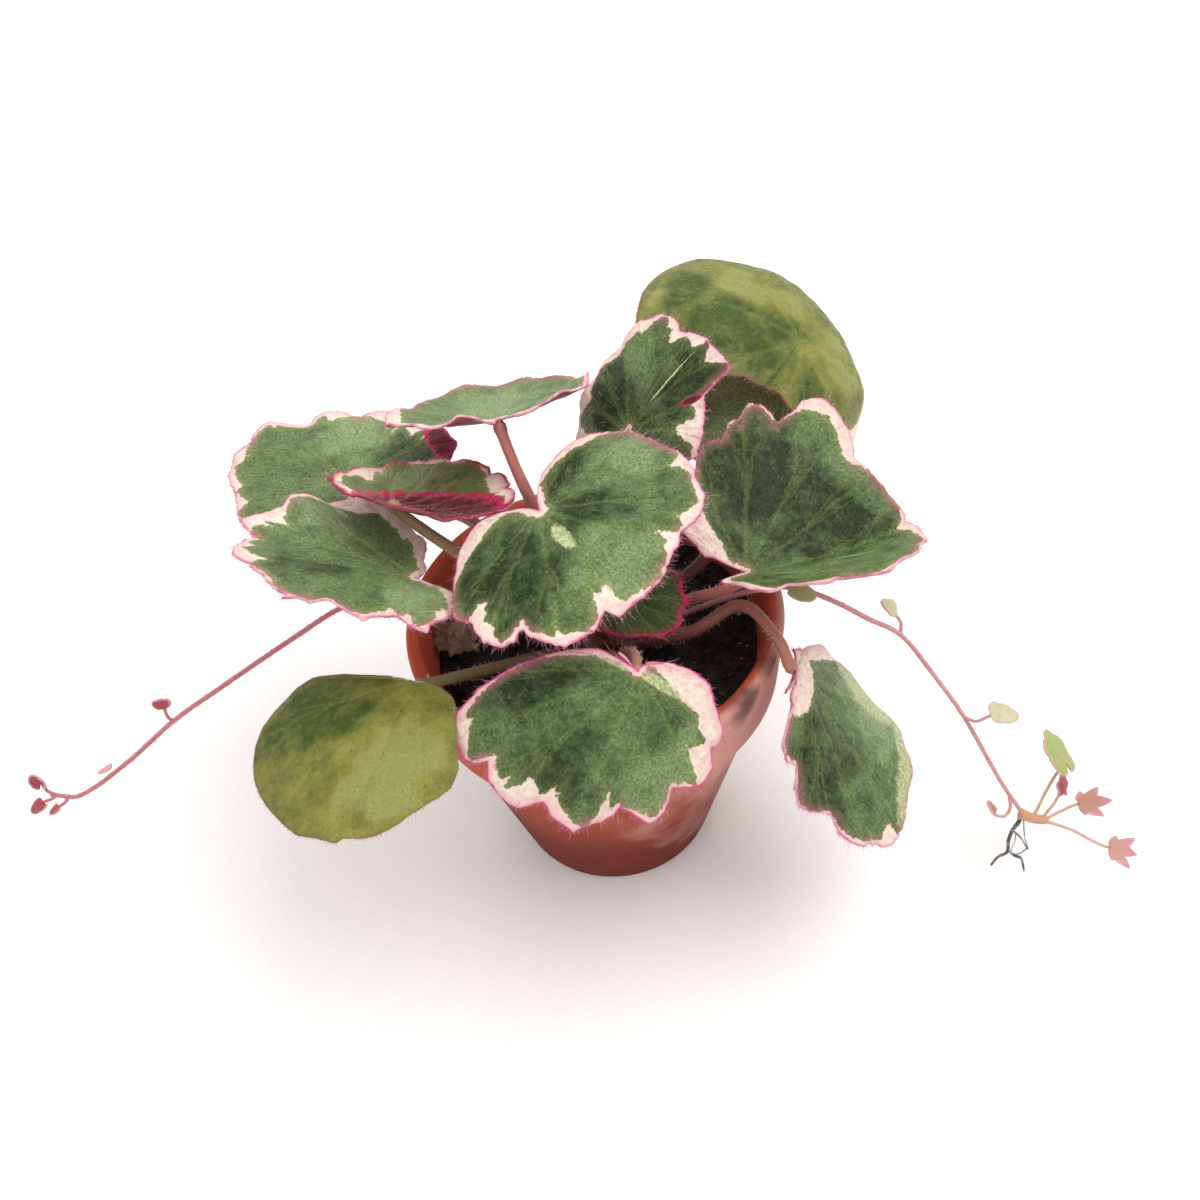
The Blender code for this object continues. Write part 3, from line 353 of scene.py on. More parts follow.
# Markings of each leaf, as read. "rim" is its outline and "green" the outline of its green middle,
# both as (angle, reach) from the junction; cream lies between them, and along the two sides of the
# cleft. A green reach of 60 means no cream. "spots" are (kind, angle, reach, half length, half width).
# The rest says how dark the leaf is, how flushed with pink, how lime where green meets cream, and how
# olive or crimson it is.
MARKINGS = {
    "centre": {
        "rim": [(-175, 3), (-155, 14.5), (-102, 25.5), (-89, 29.5), (-83, 29.5), (-81, 29), (-79, 29.5),
                (-77, 30.5), (-71, 32.5), (-64, 33), (-59, 31.5), (-58, 29.5), (-56, 29), (-54, 30.5),
                (-40, 35.5), (-28, 33.5), (-22, 30.5), (-19, 33.5), (-15, 33), (4, 33.5), (14, 33),
                (17, 33.5), (23, 32), (32, 35.5), (40, 36), (49, 34), (51, 34.5), (54, 34), (61, 32.5),
                (63, 31.5), (75, 29.5), (77, 29), (93, 28), (107, 24.5), (125, 16), (136, 13.5),
                (140, 10.5), (145, 2.5)],
        "green": [(-166, 1), (-150, 9), (-125, 14), (-98, 26.5), (-85, 29.5), (-83, 29), (-82, 24.5),
                  (-76, 23), (-73, 27.5), (-71, 28), (-70, 25.5), (-67, 30.5), (-64, 31.5), (-57, 26.5),
                  (-54, 27), (-52, 29.5), (-48, 30), (-43, 32), (-41, 26), (-40, 32), (-31, 33),
                  (-27, 31.5), (-22, 23.5), (-20, 26.5), (-18, 22), (-17, 25.5), (-14, 26), (-13, 31),
                  (-6, 31), (-4, 32), (0, 32.5), (10, 32), (13, 30), (16, 30), (18, 27), (21, 26.5),
                  (23, 31), (26, 31.5), (29, 29.5), (37, 34), (46, 32.5), (50, 33), (56, 27.5),
                  (57, 30.5),
                  (60, 32), (92, 27.5), (98, 25.5), (106, 20), (143, 3.5)],
        # The light spot at 72 degrees and the dark spot at -70 paint light on this leaf's upper right,
        # which faces the light, and shade on its lower left
        "spots": [("pale", -16, 10.5, 4.2, 1.7), ("light", 72, 22, 8, 9), ("light", -2, 24, 9, 12),
                  ("dark", -70, 19, 13, 12), ("dark", 108, 12, 9, 5), ("dark", 25, 12, 8, 5)],
        "cleft": (2, 1.6), "shade": 0.42, "blush": 1, "lime": 0.25,
    },
    "front": {
        "rim": [(-118, 5.5), (-116, 3.5), (-114, 7), (-111, 1.5), (-107, 9), (-96, 13.5), (-85, 21),
                (-74, 31), (-71, 35), (-69, 36), (-64, 41.5), (-56, 44.5), (-53, 44), (-49, 44.5),
                (-46, 42), (-45, 38.5), (-40, 41.5), (-33, 42), (-27, 41.5), (-25, 40.5), (-22, 37),
                (-20, 35.5), (-17, 36.5), (-15, 37.5), (-5, 39.5), (-3, 37.5), (1, 35), (3, 35),
                (7, 32.5),
                (9, 30.5), (14, 31.5), (22, 35.5), (25, 35), (29, 33), (34, 27.5), (46, 30.5), (52, 29.5),
                (55, 29), (61, 24.5), (63, 25.5), (67, 25.5), (71, 25), (83, 19.5), (93, 17), (110, 9.5),
                (128, 3.5), (146, 1.5)],
        "green": [(-120, 0.5), (-95, 3.5), (-90, 11), (-87, 15), (-82, 22.5), (-62, 39), (-61, 34.5),
                  (-59, 38), (-48, 42.5), (-46, 32.5), (-42, 37.5), (-38, 38), (-35, 33.5), (-34, 38.5),
                  (-32, 36), (-31, 27), (-29, 32), (-23, 33.5), (-20, 29), (-19, 31.5), (-18, 26.5),
                  (-15, 33), (-6, 36.5), (-3, 36.5), (-1, 34), (2, 23), (5, 30.5), (9, 26.5), (10, 29.5),
                  (16, 30.5), (24, 33), (28, 31), (34, 25), (38, 27), (40, 25.5), (44, 29), (47, 18.5),
                  (52, 20.5), (54, 19.5), (55, 21), (60, 22), (61, 18), (68, 16.5), (69, 11.5), (80, 5.5),
                  (128, 0.5)],
        "spots": [("pale", 74, 6, 6, 1.3), ("pale", -100, 4, 5, 1.2), ("light", 32, 25, 10, 11),
                  ("dark", -72, 26, 12, 8), ("dark", -22, 27, 9, 7)],
        "cleft": (1.2, 1), "shade": 0.38, "blush": 1.5, "lime": 0.2,
    },
    "right": {
        "rim": [(-146, 4.5), (-143, 9.5), (-131, 10), (-115, 15.5), (-108, 17.5), (-101, 17.5), (-95, 19),
                (-83, 19), (-80, 23.5), (-74, 26.5), (-68, 26.5), (-54, 24.5), (-51, 32), (-48, 33.5),
                (-43, 33.5), (-34, 35.5), (-18, 37.5), (-14, 39), (-7, 39.5), (-2, 39.5), (1, 38.5),
                (2, 37.5), (4, 38), (20, 36.5), (32, 36), (34, 37.5), (38, 39), (48, 40.5), (51, 40.5),
                (57, 39), (58, 37), (64, 33.5), (70, 35.5), (73, 35.5), (76, 35), (80, 31.5), (85, 30.5),
                (89, 27.5), (97, 28), (99, 27.5), (111, 21.5), (118, 18.5), (128, 15.5), (134, 15.5),
                (142, 16.5), (145, 12), (151, 9.5)],
        "green": [(-150, 3), (-100, 14), (-78, 21), (-74, 22), (-60, 25), (-49, 31), (-46, 32),
                  (-38, 33.5),
                  (-32, 36), (-22, 35.5), (-21, 36.5), (-13, 38), (-2, 37), (0, 33), (3, 36), (10, 37.5),
                  (20, 36.5), (28, 35), (31, 34), (35, 33.5), (38, 35), (46, 37.5), (55, 36.5), (62, 34),
                  (66, 33), (73, 35), (78, 33), (84, 29.5), (89, 27.5), (97, 27.5), (101, 26.5),
                  (108, 22),
                  (113, 19), (116, 14), (119, 8), (124, 5), (140, 3.5), (152, 2.5)],
        # The light spot at -28 degrees paints light on the near half, the dark spots paint the shade of the
        # far half that rises away, and the thin pale streak at -13 is a painted highlight along the fold
        "spots": [("light", 42, 34, 6, 9), ("light", 18, 35, 5, 7), ("light", -28, 22, 22, 15),
                  ("pale", -13, 24, 7, 0.35), ("dark", 14, 22, 14, 10), ("dark", 65, 18, 14, 10)],
        "cleft": (1, 1), "shade": 0.6, "blush": 0.8, "lime": 0.25,
    },
    "back_right": {
        "rim": [(-180, 17), (-165, 16), (-138, 21.5), (-121, 26), (-109, 28.5), (-96, 32), (-80, 30.5),
                (-50, 31), (10, 34), (26, 36.5), (46, 38.5), (55, 40.5), (70, 40.5), (82, 41.5),
                (98, 42.5),
                (114, 41.5), (124, 38.5), (135, 33), (150, 27), (163, 20), (180, 17)],
        "green": [(-180, 60), (-118, 60), (-112, 27), (-95, 26.5), (-85, 28), (-70, 29.5), (-40, 31),
                  (-30, 60),
                  (180, 60)],
        # The thin dark spot at 180 degrees along the closed cleft is painted shade in the crevice between
        # the two lobes
        "spots": [("light", 68, 20, 11, 7), ("light", 35, 11, 7, 8), ("light", 102, 38, 3, 7),
                  ("light", -60, 14, 10, 10), ("dark", 94, 31, 5, 8), ("dark", 122, 20, 13, 10),
                  ("dark", 145, 14, 8, 6), ("dark", 107, 6, 6, 5), ("dark", -130, 16, 7, 5),
                  ("dark", 180, 10, 9, 0.6)],
        "cleft": (-1, -1), "olive": 0.9, "shade": 0.45, "blush": 0.3, "lime": 0.3,
    },
    "back": {
        "rim": [(-150, 8), (-120, 15), (-104, 20.5), (-99, 20), (-89, 20.5), (-74, 19.5), (-62, 20.5),
                (-56, 25.5), (-55, 27.5), (-53, 28.5), (-43, 28), (-37, 27.5), (-34, 28), (-26, 27),
                (-15, 26), (-13, 27.5), (-10, 28.5), (-3, 29), (3, 28), (10, 28), (18, 25.5), (27, 24),
                (38, 23.5), (48, 21.5), (58, 21), (70, 21.5), (88, 20), (105, 18), (150, 8)],
        "green": [(-150, 3), (-120, 10), (-108, 18.5), (-100, 18.5), (-93, 14), (-86, 13), (-80, 13),
                  (-76, 17), (-63, 16.5), (-59, 22.5), (-58, 20), (-54, 27.5), (-52, 28), (-45, 23),
                  (-36, 27.5), (-33, 24), (-28, 24), (-26, 25), (-19, 24), (-13, 21.5), (-10, 25.5),
                  (-8, 21), (-7, 27.5), (-4, 28), (8, 23), (10, 24.5), (25, 21), (44, 21.5), (45, 18),
                  (47, 21), (65, 16), (79, 19.5), (85, 18.5), (89, 11.5), (90, 15), (93, 11), (109, 14.5),
                  (120, 10), (150, 3)],
        # The dark spot at -50 degrees is painted shade on the folded right flank, which is turned from the
        # light
        "spots": [("pale", -34, 16, 8, 0.3), ("light", 8, 19, 7, 5), ("dark", -50, 21, 8, 6),
                  ("dark", 45, 12, 9, 7), ("red", -62, 17.5, 3, 0.9)],
        "cleft": (1.2, 1.2), "shade": 0.6, "blush": 0.9, "lime": 0.15,
    },
    "back_shaded": {
        "rim": [(-160, 6.5), (-144, 10.5), (-122, 14), (-105, 14.5), (-94, 17), (-80, 18), (-70, 17),
                (-60, 19), (-46, 19.5), (-35, 18), (-24, 19.5), (-10, 20), (0, 19), (10, 20.5), (24, 21),
                (35, 19.5), (46, 20.5), (60, 20), (70, 18), (80, 19), (94, 18), (105, 15.5), (122, 14),
                (160, 6.5)],
        "green": [(-160, 5), (-100, 15.5), (-80, 14), (-70, 17.5), (-20, 19), (-10, 16.5), (0, 19.5),
                  (50, 19.5), (60, 16), (70, 18.5), (160, 6)],
        # This leaf lies in the shade under back_right; its low shade and the wide light spot paint light on
        # it, and the dark spot at 70 degrees paints the shade on its left side
        "spots": [("light", 0, 10, 22, 22), ("dark", 70, 14, 7, 6)],
        "cleft": (1, 1), "shade": 0.05, "blush": 0.3, "lime": 0.2,
    },
    "back_left": {
        "rim": [(-165, 9), (-140, 18), (-125, 19), (-112, 21.5), (-95, 22.5), (-80, 25), (-62, 26),
                (-37, 25), (-26, 27), (0, 28.5), (26, 28), (38, 26.5), (62, 27.5), (80, 25), (91, 24.5),
                (103, 21.5), (120, 20.5), (125, 18), (140, 16), (165, 9)],
        "green": [(-165, 6), (-130, 17), (-50, 26.5), (-20, 28), (30, 27.5), (50, 25.5), (60, 23),
                  (120, 17), (165, 5)],
        "spots": [("light", -10, 14, 10, 8)],
        "cleft": (2, 2), "shade": 0.08, "blush": 1.1, "lime": 0.3,
    },
    "far_left": {
        "rim": [(-165, 6), (-151, 4.5), (-118, 13.5), (-115, 23.5), (-113, 26), (-101, 31.5), (-97, 30.5),
                (-93, 31), (-77, 30.5), (-61, 31.5), (-56, 31.5), (-52, 29.5), (-46, 25), (-41, 25.5),
                (-37, 27.5), (-29, 29), (-21, 29.5), (-18, 28), (-15, 27.5), (-11, 29), (-7, 29.5),
                (-3, 31.5), (-1, 33.5), (4, 33), (12, 31.5), (16, 29.5), (21, 29.5), (26, 31.5),
                (41, 29.5), (56, 26.5), (67, 26.5), (78, 27.5), (115, 20), (140, 12), (165, 6)],
        "green": [(-165, 1), (-140, 5), (-118, 17), (-113, 23.5), (-103, 26), (-92, 25), (-91, 21.5),
                  (-85, 27.5), (-84, 22), (-71, 25.5), (-70, 17.5), (-66, 24), (-65, 19.5), (-60, 25),
                  (-51, 25.5), (-27, 24), (-24, 27.5), (-18, 25.5), (-13, 25.5), (-5, 27.5), (-1, 30),
                  (0, 26.5), (2, 31.5), (24, 28), (25, 26), (33, 29), (50, 24.5), (56, 25.5), (68, 23),
                  (74, 26.5), (80, 26), (87, 21), (115, 15), (165, 1)],
        "spots": [("light", -42, 18, 10, 9), ("dark", -95, 20, 9, 8), ("red", -101, 28.5, 5, 9)],
        "cleft": (1.5, 1.5), "shade": 0.2, "blush": 1.1, "lime": 0.3,
    },
    "left_cup": {
        "rim": [(-160, 7), (-130, 14), (-100, 18), (-78, 21.5), (-74, 20.5), (-60, 25.5), (-47, 27.5),
                (-44, 29), (-37, 29.5), (-31, 28.5), (-28, 30), (-21, 31), (-14, 30.5), (-11, 29.5),
                (-5, 32), (5, 30), (12, 30.5), (17, 29.5), (21, 30), (28, 30), (31, 28.5), (35, 29.5),
                (45, 25.5), (48, 26), (54, 23.5), (63, 24), (70, 23.5), (83, 20), (95, 17.5), (143, 13),
                (160, 8)],
        "green": [(-160, 4), (-60, 24), (-40, 26.5), (-35, 24), (-28, 24), (-12, 26.5), (-8, 28.5),
                  (0, 29.5), (40, 26.5), (50, 24), (53, 19.5), (57, 21.5), (60, 16), (64, 16), (70, 18),
                  (75, 18.5), (160, 2)],
        "spots": [("light", 40, 20, 8, 7), ("red", -61, 10.3, 19, 15.5)],
        "cleft": (1, 1), "olive": 0.45, "shade": 0.4, "blush": 1.4, "lime": 0.3, "crimson": 1,
    },
    "left": {
        "rim": [(-128, 1.5), (-103, 9), (-99, 17.5), (-96, 19.5), (-89, 21), (-83, 24.5), (-74, 32),
                (-66, 36), (-54, 36), (-53, 38), (-51, 39.5), (-47, 40), (-43, 40), (-34, 37.5),
                (-19, 41.5), (-12, 36), (-10, 38), (6, 39.5), (10, 36), (16, 35.5), (19, 34), (23, 33.5),
                (35, 32), (36, 34), (37, 31), (39, 29.5), (43, 30), (46, 27.5), (62, 27), (67, 28.5),
                (68, 25.5), (78, 20), (84, 22.5), (87, 25), (93, 28), (95, 24.5), (105, 20), (138, 11.5),
                (158, 7)],
        "green": [(-150, 1), (-100, 3), (-90, 5), (-86, 9), (-83, 16), (-80, 13), (-77, 13), (-75, 20),
                  (-70, 27),
                  (-60, 28), (-56, 32), (-52, 34), (-49, 37.5), (-45, 38), (-41, 38), (-32, 34.5),
                  (-29, 34),
                  (-24, 29.5), (-22, 36), (-19, 31.5), (-18, 37.5), (-15, 37.5), (-11, 33.5), (-8, 36.5),
                  (-5, 33), (-4, 35.5), (0, 37), (8, 31), (11, 35.5), (22, 32), (30, 32), (34, 31.5),
                  (42, 29),
                  (58, 26.5), (62, 25), (64, 26), (71, 18.5), (76, 18.5), (81, 19.5), (85, 17.5),
                  (90, 25),
                  (95, 23.5), (105, 13.5), (106, 16.5), (108, 14), (114, 15), (137, 5.5), (158, 2)],
        "spots": [("light", -45, 30, 7, 7), ("light", 85, 12, 9, 7), ("pale", -54, 31, 4, 0.9),
                  ("dark", 10, 24, 10, 5)],
        "cleft": (1.5, 1), "shade": 0.2, "blush": 1, "lime": 0.3,
    },
    "front_left": {
        "rim": [(-65, 5), (-61, 13), (-59, 26), (-57, 29.5), (-52, 33.5), (-41, 40), (-30, 42.5),
                (-23, 43.5), (7, 42), (15, 40), (22, 39.5), (24, 38), (32, 36.5), (47, 31), (66, 27),
                (73, 23.5), (77, 19), (86, 15), (134, 2)],
        "green": [(-66, 60), (134, 60)],
        "spots": [("light", 38, 22, 20, 13), ("dark", -34, 25, 18, 10), ("dark", -27, 20, 1.4, 1.6)],
        "cleft": (0.2, 0.2), "olive": 1, "shade": 0.4, "blush": 0.12, "lime": 0.3,
    },
    "front_right": {
        "rim": [(-100, 6), (-98, 8), (-95, 1.5), (-90, 9.5), (-86, 11), (-82, 20.5), (-76, 21), (-73, 22),
                (-63, 22.5), (-61, 27.5), (-60, 26), (-56, 31), (-50, 32.5), (-44, 33), (-42, 33.5),
                (-39, 38.5), (-35, 42), (-32, 43.5), (-29, 43.5), (-28, 44.5), (-26, 45), (-24, 47),
                (-21, 48), (-18, 48), (-17, 47.5), (0, 45.5), (13, 45), (22, 47), (30, 45.5), (40, 40),
                (44, 36.5), (48, 28), (52, 24.5), (56, 23), (69, 12), (77, 7.5), (95, 5), (115, 5)],
        "green": [(-100, 2), (-88, 6), (-84, 14), (-80, 19.5), (-74, 20.5), (-64, 21), (-60, 25),
                  (-56, 29.5),
                  (-50, 31.5), (-42, 32), (-39, 36), (-35, 39.5), (-31, 42), (-27, 43), (-24, 44.5),
                  (-22, 43), (-18, 43), (-14, 60), (40, 60), (45, 30), (47, 12), (52, 1), (115, 0.5)],
        # The light spot at 16 degrees is a painted sheen on the right flank, which faces the light
        "spots": [("cream", -90, 3, 10, 6.5), ("pale", 33, 37, 14, 10), ("pale", 5, 46, 6, 18),
                  ("light", 16, 31, 12, 9), ("dark", -48, 24, 12, 12)],
        "cleft": (1.5, 1.5), "shade": 0.3, "blush": 0.9, "lime": 0.1,
    },
    "young": {
        "rim": [(-155, 4.5), (-113, 10.5), (-95, 11), (-86, 12.5), (-74, 13), (-65, 13), (-57, 14),
                (-46, 14.5), (-38, 14), (-30, 15), (-20, 15.5), (-12, 15), (-5, 16), (5, 16), (12, 14.5),
                (20, 15.5), (30, 15), (38, 14), (46, 14.5), (57, 14), (65, 12.5), (74, 13), (86, 12.5),
                (95, 11), (113, 10.5), (155, 4.5)],
        "green": [(-155, 20), (155, 20)],
        "spots": [("dark", 0, 8, 9, 9)],
        "cleft": (0.3, 0.3), "olive": 0.5, "shade": 1.1, "blush": 1.2, "lime": 0.1, "crimson": 1.7,
    },
}


# How olive (1) or pink-brown (0) each leaf stalk is, and each of the small leaves' colours: how green,
# how cream and how red it is.
STALK_OLIVE = {
    "centre": 0.3, "front": 0.4, "right": 0.1, "back_right": 0.5, "back": 0.2, "back_shaded": 0.3,
    "back_left": 0.0, "far_left": 0.3, "left_cup": 0.7, "left": 0.3, "front_left": 1.0,
    "front_right": 0.25, "young": 0.0,
}
SMALL_TINTS = {
    "bract_right_1": (1.0, 0.1, 0.0), "bract_right_2": (0.9, 0.3, 0.0), "bract_right_3": (1.0, 0.35, 0.0),
    "bract_right_4": (0.0, 0.2, 0.5), "bract_left_1": (0.0, 0.1, 1.2), "bract_left_2": (0.0, 0.5, 0.4),
    "plantlet_right_1": (1.1, 0.0, 0.0), "plantlet_right_2": (0.0, 0.0, 1.0),
    "plantlet_right_3": (0.15, 0.1, 0.4), "plantlet_right_4": (0.0, 0.2, 0.4),
    "young_left_1": (0.0, 0.0, 1.3), "young_left_2": (0.1, 0.1, 1.0), "young_left_3": (0.0, 0.2, 0.8),
}


def linear(code):
    """Linear red, green and blue of an sRGB hex colour."""
    parts = [int(code[i:i + 2], 16) / 255 for i in (1, 3, 5)]
    return tuple(p / 12.92 if p <= 0.04045 else ((p + 0.055) / 1.055) ** 2.4 for p in parts)


def length(name, description, usual, low, high):
    """Property for a length in metres."""
    return FloatProperty(
        name=name, description=description, default=usual, min=low, max=high, unit="LENGTH", precision=5,
    )


def paint(name, description, code):
    """Property for a colour."""
    return FloatVectorProperty(
        name=name, description=description, subtype="COLOR", size=3, min=0, max=1, default=linear(code),
    )


class BegoniaSizes(bpy.types.PropertyGroup):
    """Sizes of the fine detail."""

    blade_thickness: length("Blade thickness", "Thickness of a leaf of the rosette", 0.0006, 0.0003, 0.0015)
    margin_hair: length("Margin hair", "Longest hairs along a leaf's edge", 0.0016, 0.0, 0.004)
    fringe_gap: length("Fringe gap", "Space between the hairs along a leaf's edge", 0.0004, 0.0001, 0.002)
    surface_hair: length("Surface hair", "Length of the bristles on top of a leaf", 0.0013, 0.0, 0.003)
    stalk_hair: length("Stalk hair", "Length of the hairs on stalks and runners", 0.0012, 0.0, 0.003)
    hair_radius: length("Hair radius", "Radius of a hair at its root", 0.00007, 0.00002, 0.0002)
    soil_grains: IntProperty(
        name="Soil grains", description="How many loose crumbs lie on the potting mix",
        default=900, min=0, max=3000,
    )


class BegoniaColours(bpy.types.PropertyGroup):
    """Colours of the plant, the pot and the soil."""

    leaf_green: paint("Leaf green", "Grey green of the middle of a leaf", "#66794A")
    leaf_deep: paint("Deep leaf green", "Darker green between the veins and on shaded leaves", "#1C2C08")
    leaf_lime: paint("Lime green", "Pale green patches and the fringe along the cream", "#9AA85A")
    leaf_cream: paint("Cream", "Cream of a leaf's margin", "#F0DFD0")
    leaf_pink: paint("Margin pink", "Pink of the outermost edge", "#DE5492")
    leaf_crimson: paint("Underside crimson", "Crimson of a leaf's underside", "#8E1F38")
    leaf_olive: paint("Olive", "Yellow green of the two older leaves", "#87863A")
    hair_white: paint("Hair", "Tip colour of the hairs", "#F4E4E0")
    stalk_pink: paint("Stalk pink", "Pink brown of the leaf stalks", "#C0736A")
    stalk_olive: paint("Stalk olive", "Olive tan of the greener leaf stalks", "#8E8458")
    runner_red: paint("Runner", "Rose red of the runners", "#BC6470")
    terracotta: paint("Terracotta", "Orange red of the fired clay", "#C0583A")
    soil_dark: paint("Potting mix", "Near black of the damp potting mix", "#17100D")


def feed(tree, made, sockets):
    """Give each socket named a link, a hex colour or a value."""
    for key, value in sockets.items():
        socket = made.inputs[key]
        if isinstance(value, bpy.types.NodeSocket):
            tree.links.new(value, socket)
            continue
        value = linear(value) if isinstance(value, str) else value
        socket.default_value = (*value, 1.0) if socket.type == "RGBA" else value


def add(tree, kind, sockets=None, out=None, **settings):
    """Add a node of a kind, set it, feed its sockets, and return an output."""
    name, usual, fixed = kind
    made = tree.nodes.new(name)
    for key, value in {**fixed, **settings}.items():
        setattr(made, key, value)
    feed(tree, made, sockets or {})
    return made.outputs[usual if out is None else out]


def new_surface(name):
    """A named material with its node tree, its shader, and coordinates locked to the part."""
    made = bpy.data.materials.new(name)
    made.use_nodes = True
    tree = made.node_tree
    where = add(tree, PLACE)
    return made, tree, tree.nodes["Principled BSDF"], where


def leaf_top_surface(name, colours):
    """Upper skin of a hairy leaf: mottled grey green, cream and pink at the margin, paler veins."""
    surface, tree, shader, where = new_surface(name)
    fact = {key: add(tree, FACT, attribute_name=key) for key in LEAF_FACTS}

    # Patches of about 6 mm, flecks of 1.4 mm, and the grain of the feet of the bristles. Real feet
    # stand about 0.2 mm apart; they are drawn at 0.6 mm so that they show in the render.
    cloud = add(tree, NOISE, {"Vector": where, "Scale": 160.0, "Detail": 4.0, "Roughness": 0.65})
    fleck = add(tree, NOISE, {"Vector": where, "Scale": 700.0, "Detail": 3.0, "Roughness": 0.6})
    grain = add(tree, NOISE, {"Vector": where, "Scale": 1600.0, "Detail": 2.0, "Roughness": 0.6})

    # The edge of the cream, ragged by half a millimetre
    ragged = add(tree, MULTIPLY_ADD, {0: fleck, 1: 2.4, 2: -1.2})
    line = add(tree, ADD, {0: fact["cream"], 1: ragged})
    cream_part = add(tree, SMOOTH, {0: line, 1: -0.15, 2: 0.2})
    fringe = add(tree, MULTIPLY_ADD, {0: cloud, 1: 5.0, 2: line})
    fringe = add(tree, SMOOTH, {0: fringe, 1: 0.6, 2: 2.4})

    # Greens: two tones by cloudy patches, darker on the shaded leaves
    tone = add(tree, RANGE, {0: cloud, 1: 0.35, 2: 0.68, 3: -0.2, 4: 0.3})
    tone = add(tree, ADD, {0: tone, 1: fact["tone"]})
    tone = add(
        tree, MULTIPLY_ADD,
        {0: add(tree, RANGE, {0: fleck, 1: 0.35, 2: 0.65, 3: -0.12, 4: 0.12}), 1: 1.0, 2: tone},
        use_clamp=True,
    )
    # Paler grey green where the tone is light: on some leaves their own paler patches, on others painted
    # light where they face the light
    bright = add(tree, RANGE, {0: fact["tone"], 1: 0.1, 2: -0.3, 3: 0.0, 4: 0.45})
    green = add(tree, MIX, {0: tone, 6: colours.leaf_green, 7: colours.leaf_deep})
    olive = add(tree, MIX, {0: tone, 6: colours.leaf_olive, 7: "#3C4E14"})
    colour = add(tree, MIX, {0: fact["olive"], 6: green, 7: olive})
    lime = colours.leaf_lime
    colour = add(tree, MIX, {0: bright, 6: colour, 7: "#92A578"})

    # Main vein down the middle of each lobe, and a fork off it towards each side of the lobe
    wander = add(tree, MULTIPLY_ADD, {0: cloud, 1: 0.4, 2: fact["lobe"]})
    wander = add(tree, FRACT, {0: add(tree, SUBTRACT, {0: wander, 1: 0.2})})
    aside = add(tree, ABSOLUTE, {0: add(tree, SUBTRACT, {0: wander, 1: 0.5})})
    main = add(tree, MULTIPLY, {0: aside, 1: fact["span"]})
    spread = add(tree, RANGE, {0: fact["share"], 1: 0.4, 2: 1.0, 3: 0.0, 4: 0.3})
    fork = add(tree, ABSOLUTE, {0: add(tree, SUBTRACT, {0: aside, 1: spread})})
    fork = add(tree, MULTIPLY, {0: add(tree, MULTIPLY, {0: fork, 1: fact["span"]}), 1: 1.6})
    vein = add(tree, SMOOTH, {0: add(tree, MINIMUM, {0: main, 1: fork}), 1: 0.1, 2: 1.1, 3: 1.0, 4: 0.0})
    net = add(tree, CELLS, {"Vector": where, "Scale": 420.0}, feature="DISTANCE_TO_EDGE")
    net = add(tree, RANGE, {0: net, 1: 0.02, 2: 0.16, 3: 1.0, 4: 0.0})
    veins = add(tree, MULTIPLY_ADD, {0: net, 1: 0.25, 2: vein}, use_clamp=True)
    colour = add(tree, MIX, {0: add(tree, MULTIPLY, {0: veins, 1: 0.13}), 6: colour, 7: lime})

    # Lime where green meets cream, and small pale marks
    pale = add(tree, MULTIPLY, {0: fringe, 1: fact["lime"]})
    colour = add(tree, MIX, {0: pale, 6: colour, 7: lime})
    mark = add(tree, MULTIPLY_ADD, {0: ragged, 1: 0.3, 2: fact["pale"]})
    colour = add(
        tree, MIX,
        {0: add(tree, RANGE, {0: mark, 1: -0.1, 2: 0.15, 3: 0.0, 4: 0.9}), 6: colour, 7: "#AEB684"},
    )
    faint = add(tree, RANGE, {0: fact["olive"], 1: 0.0, 2: 1.0, 3: 0.68, 4: 0.9})
    light = add(
        tree, RANGE, {0: grain, 1: 0.36, 2: 0.64, 3: faint, 4: add(tree, SUBTRACT, {0: 2.0, 1: faint})},
    )
    colour = add(tree, VECTOR, {0: colour, "Scale": light}, operation="SCALE")
    cream = add(
        tree, MIX,
        {0: add(tree, RANGE, {0: fleck, 1: 0.35, 2: 0.65}), 6: colours.leaf_cream, 7: "#E3C4B6"},
    )
    colour = add(tree, MIX, {0: cream_part, 6: colour, 7: cream})

    # Crimson where the underside's colour comes through
    mark = add(tree, MULTIPLY_ADD, {0: ragged, 1: 0.2, 2: fact["red"]})
    crimson = "#B4234F"
    deep = add(tree, RANGE, {0: mark, 1: 0.12, 2: 0.3})
    colour = add(
        tree, MIX,
        {
            0: add(tree, RANGE, {0: mark, 1: 0.0, 2: 0.04}), 6: colour,
            7: add(tree, MIX, {0: deep, 6: crimson, 7: "#5C0A1C"}),
        },
    )

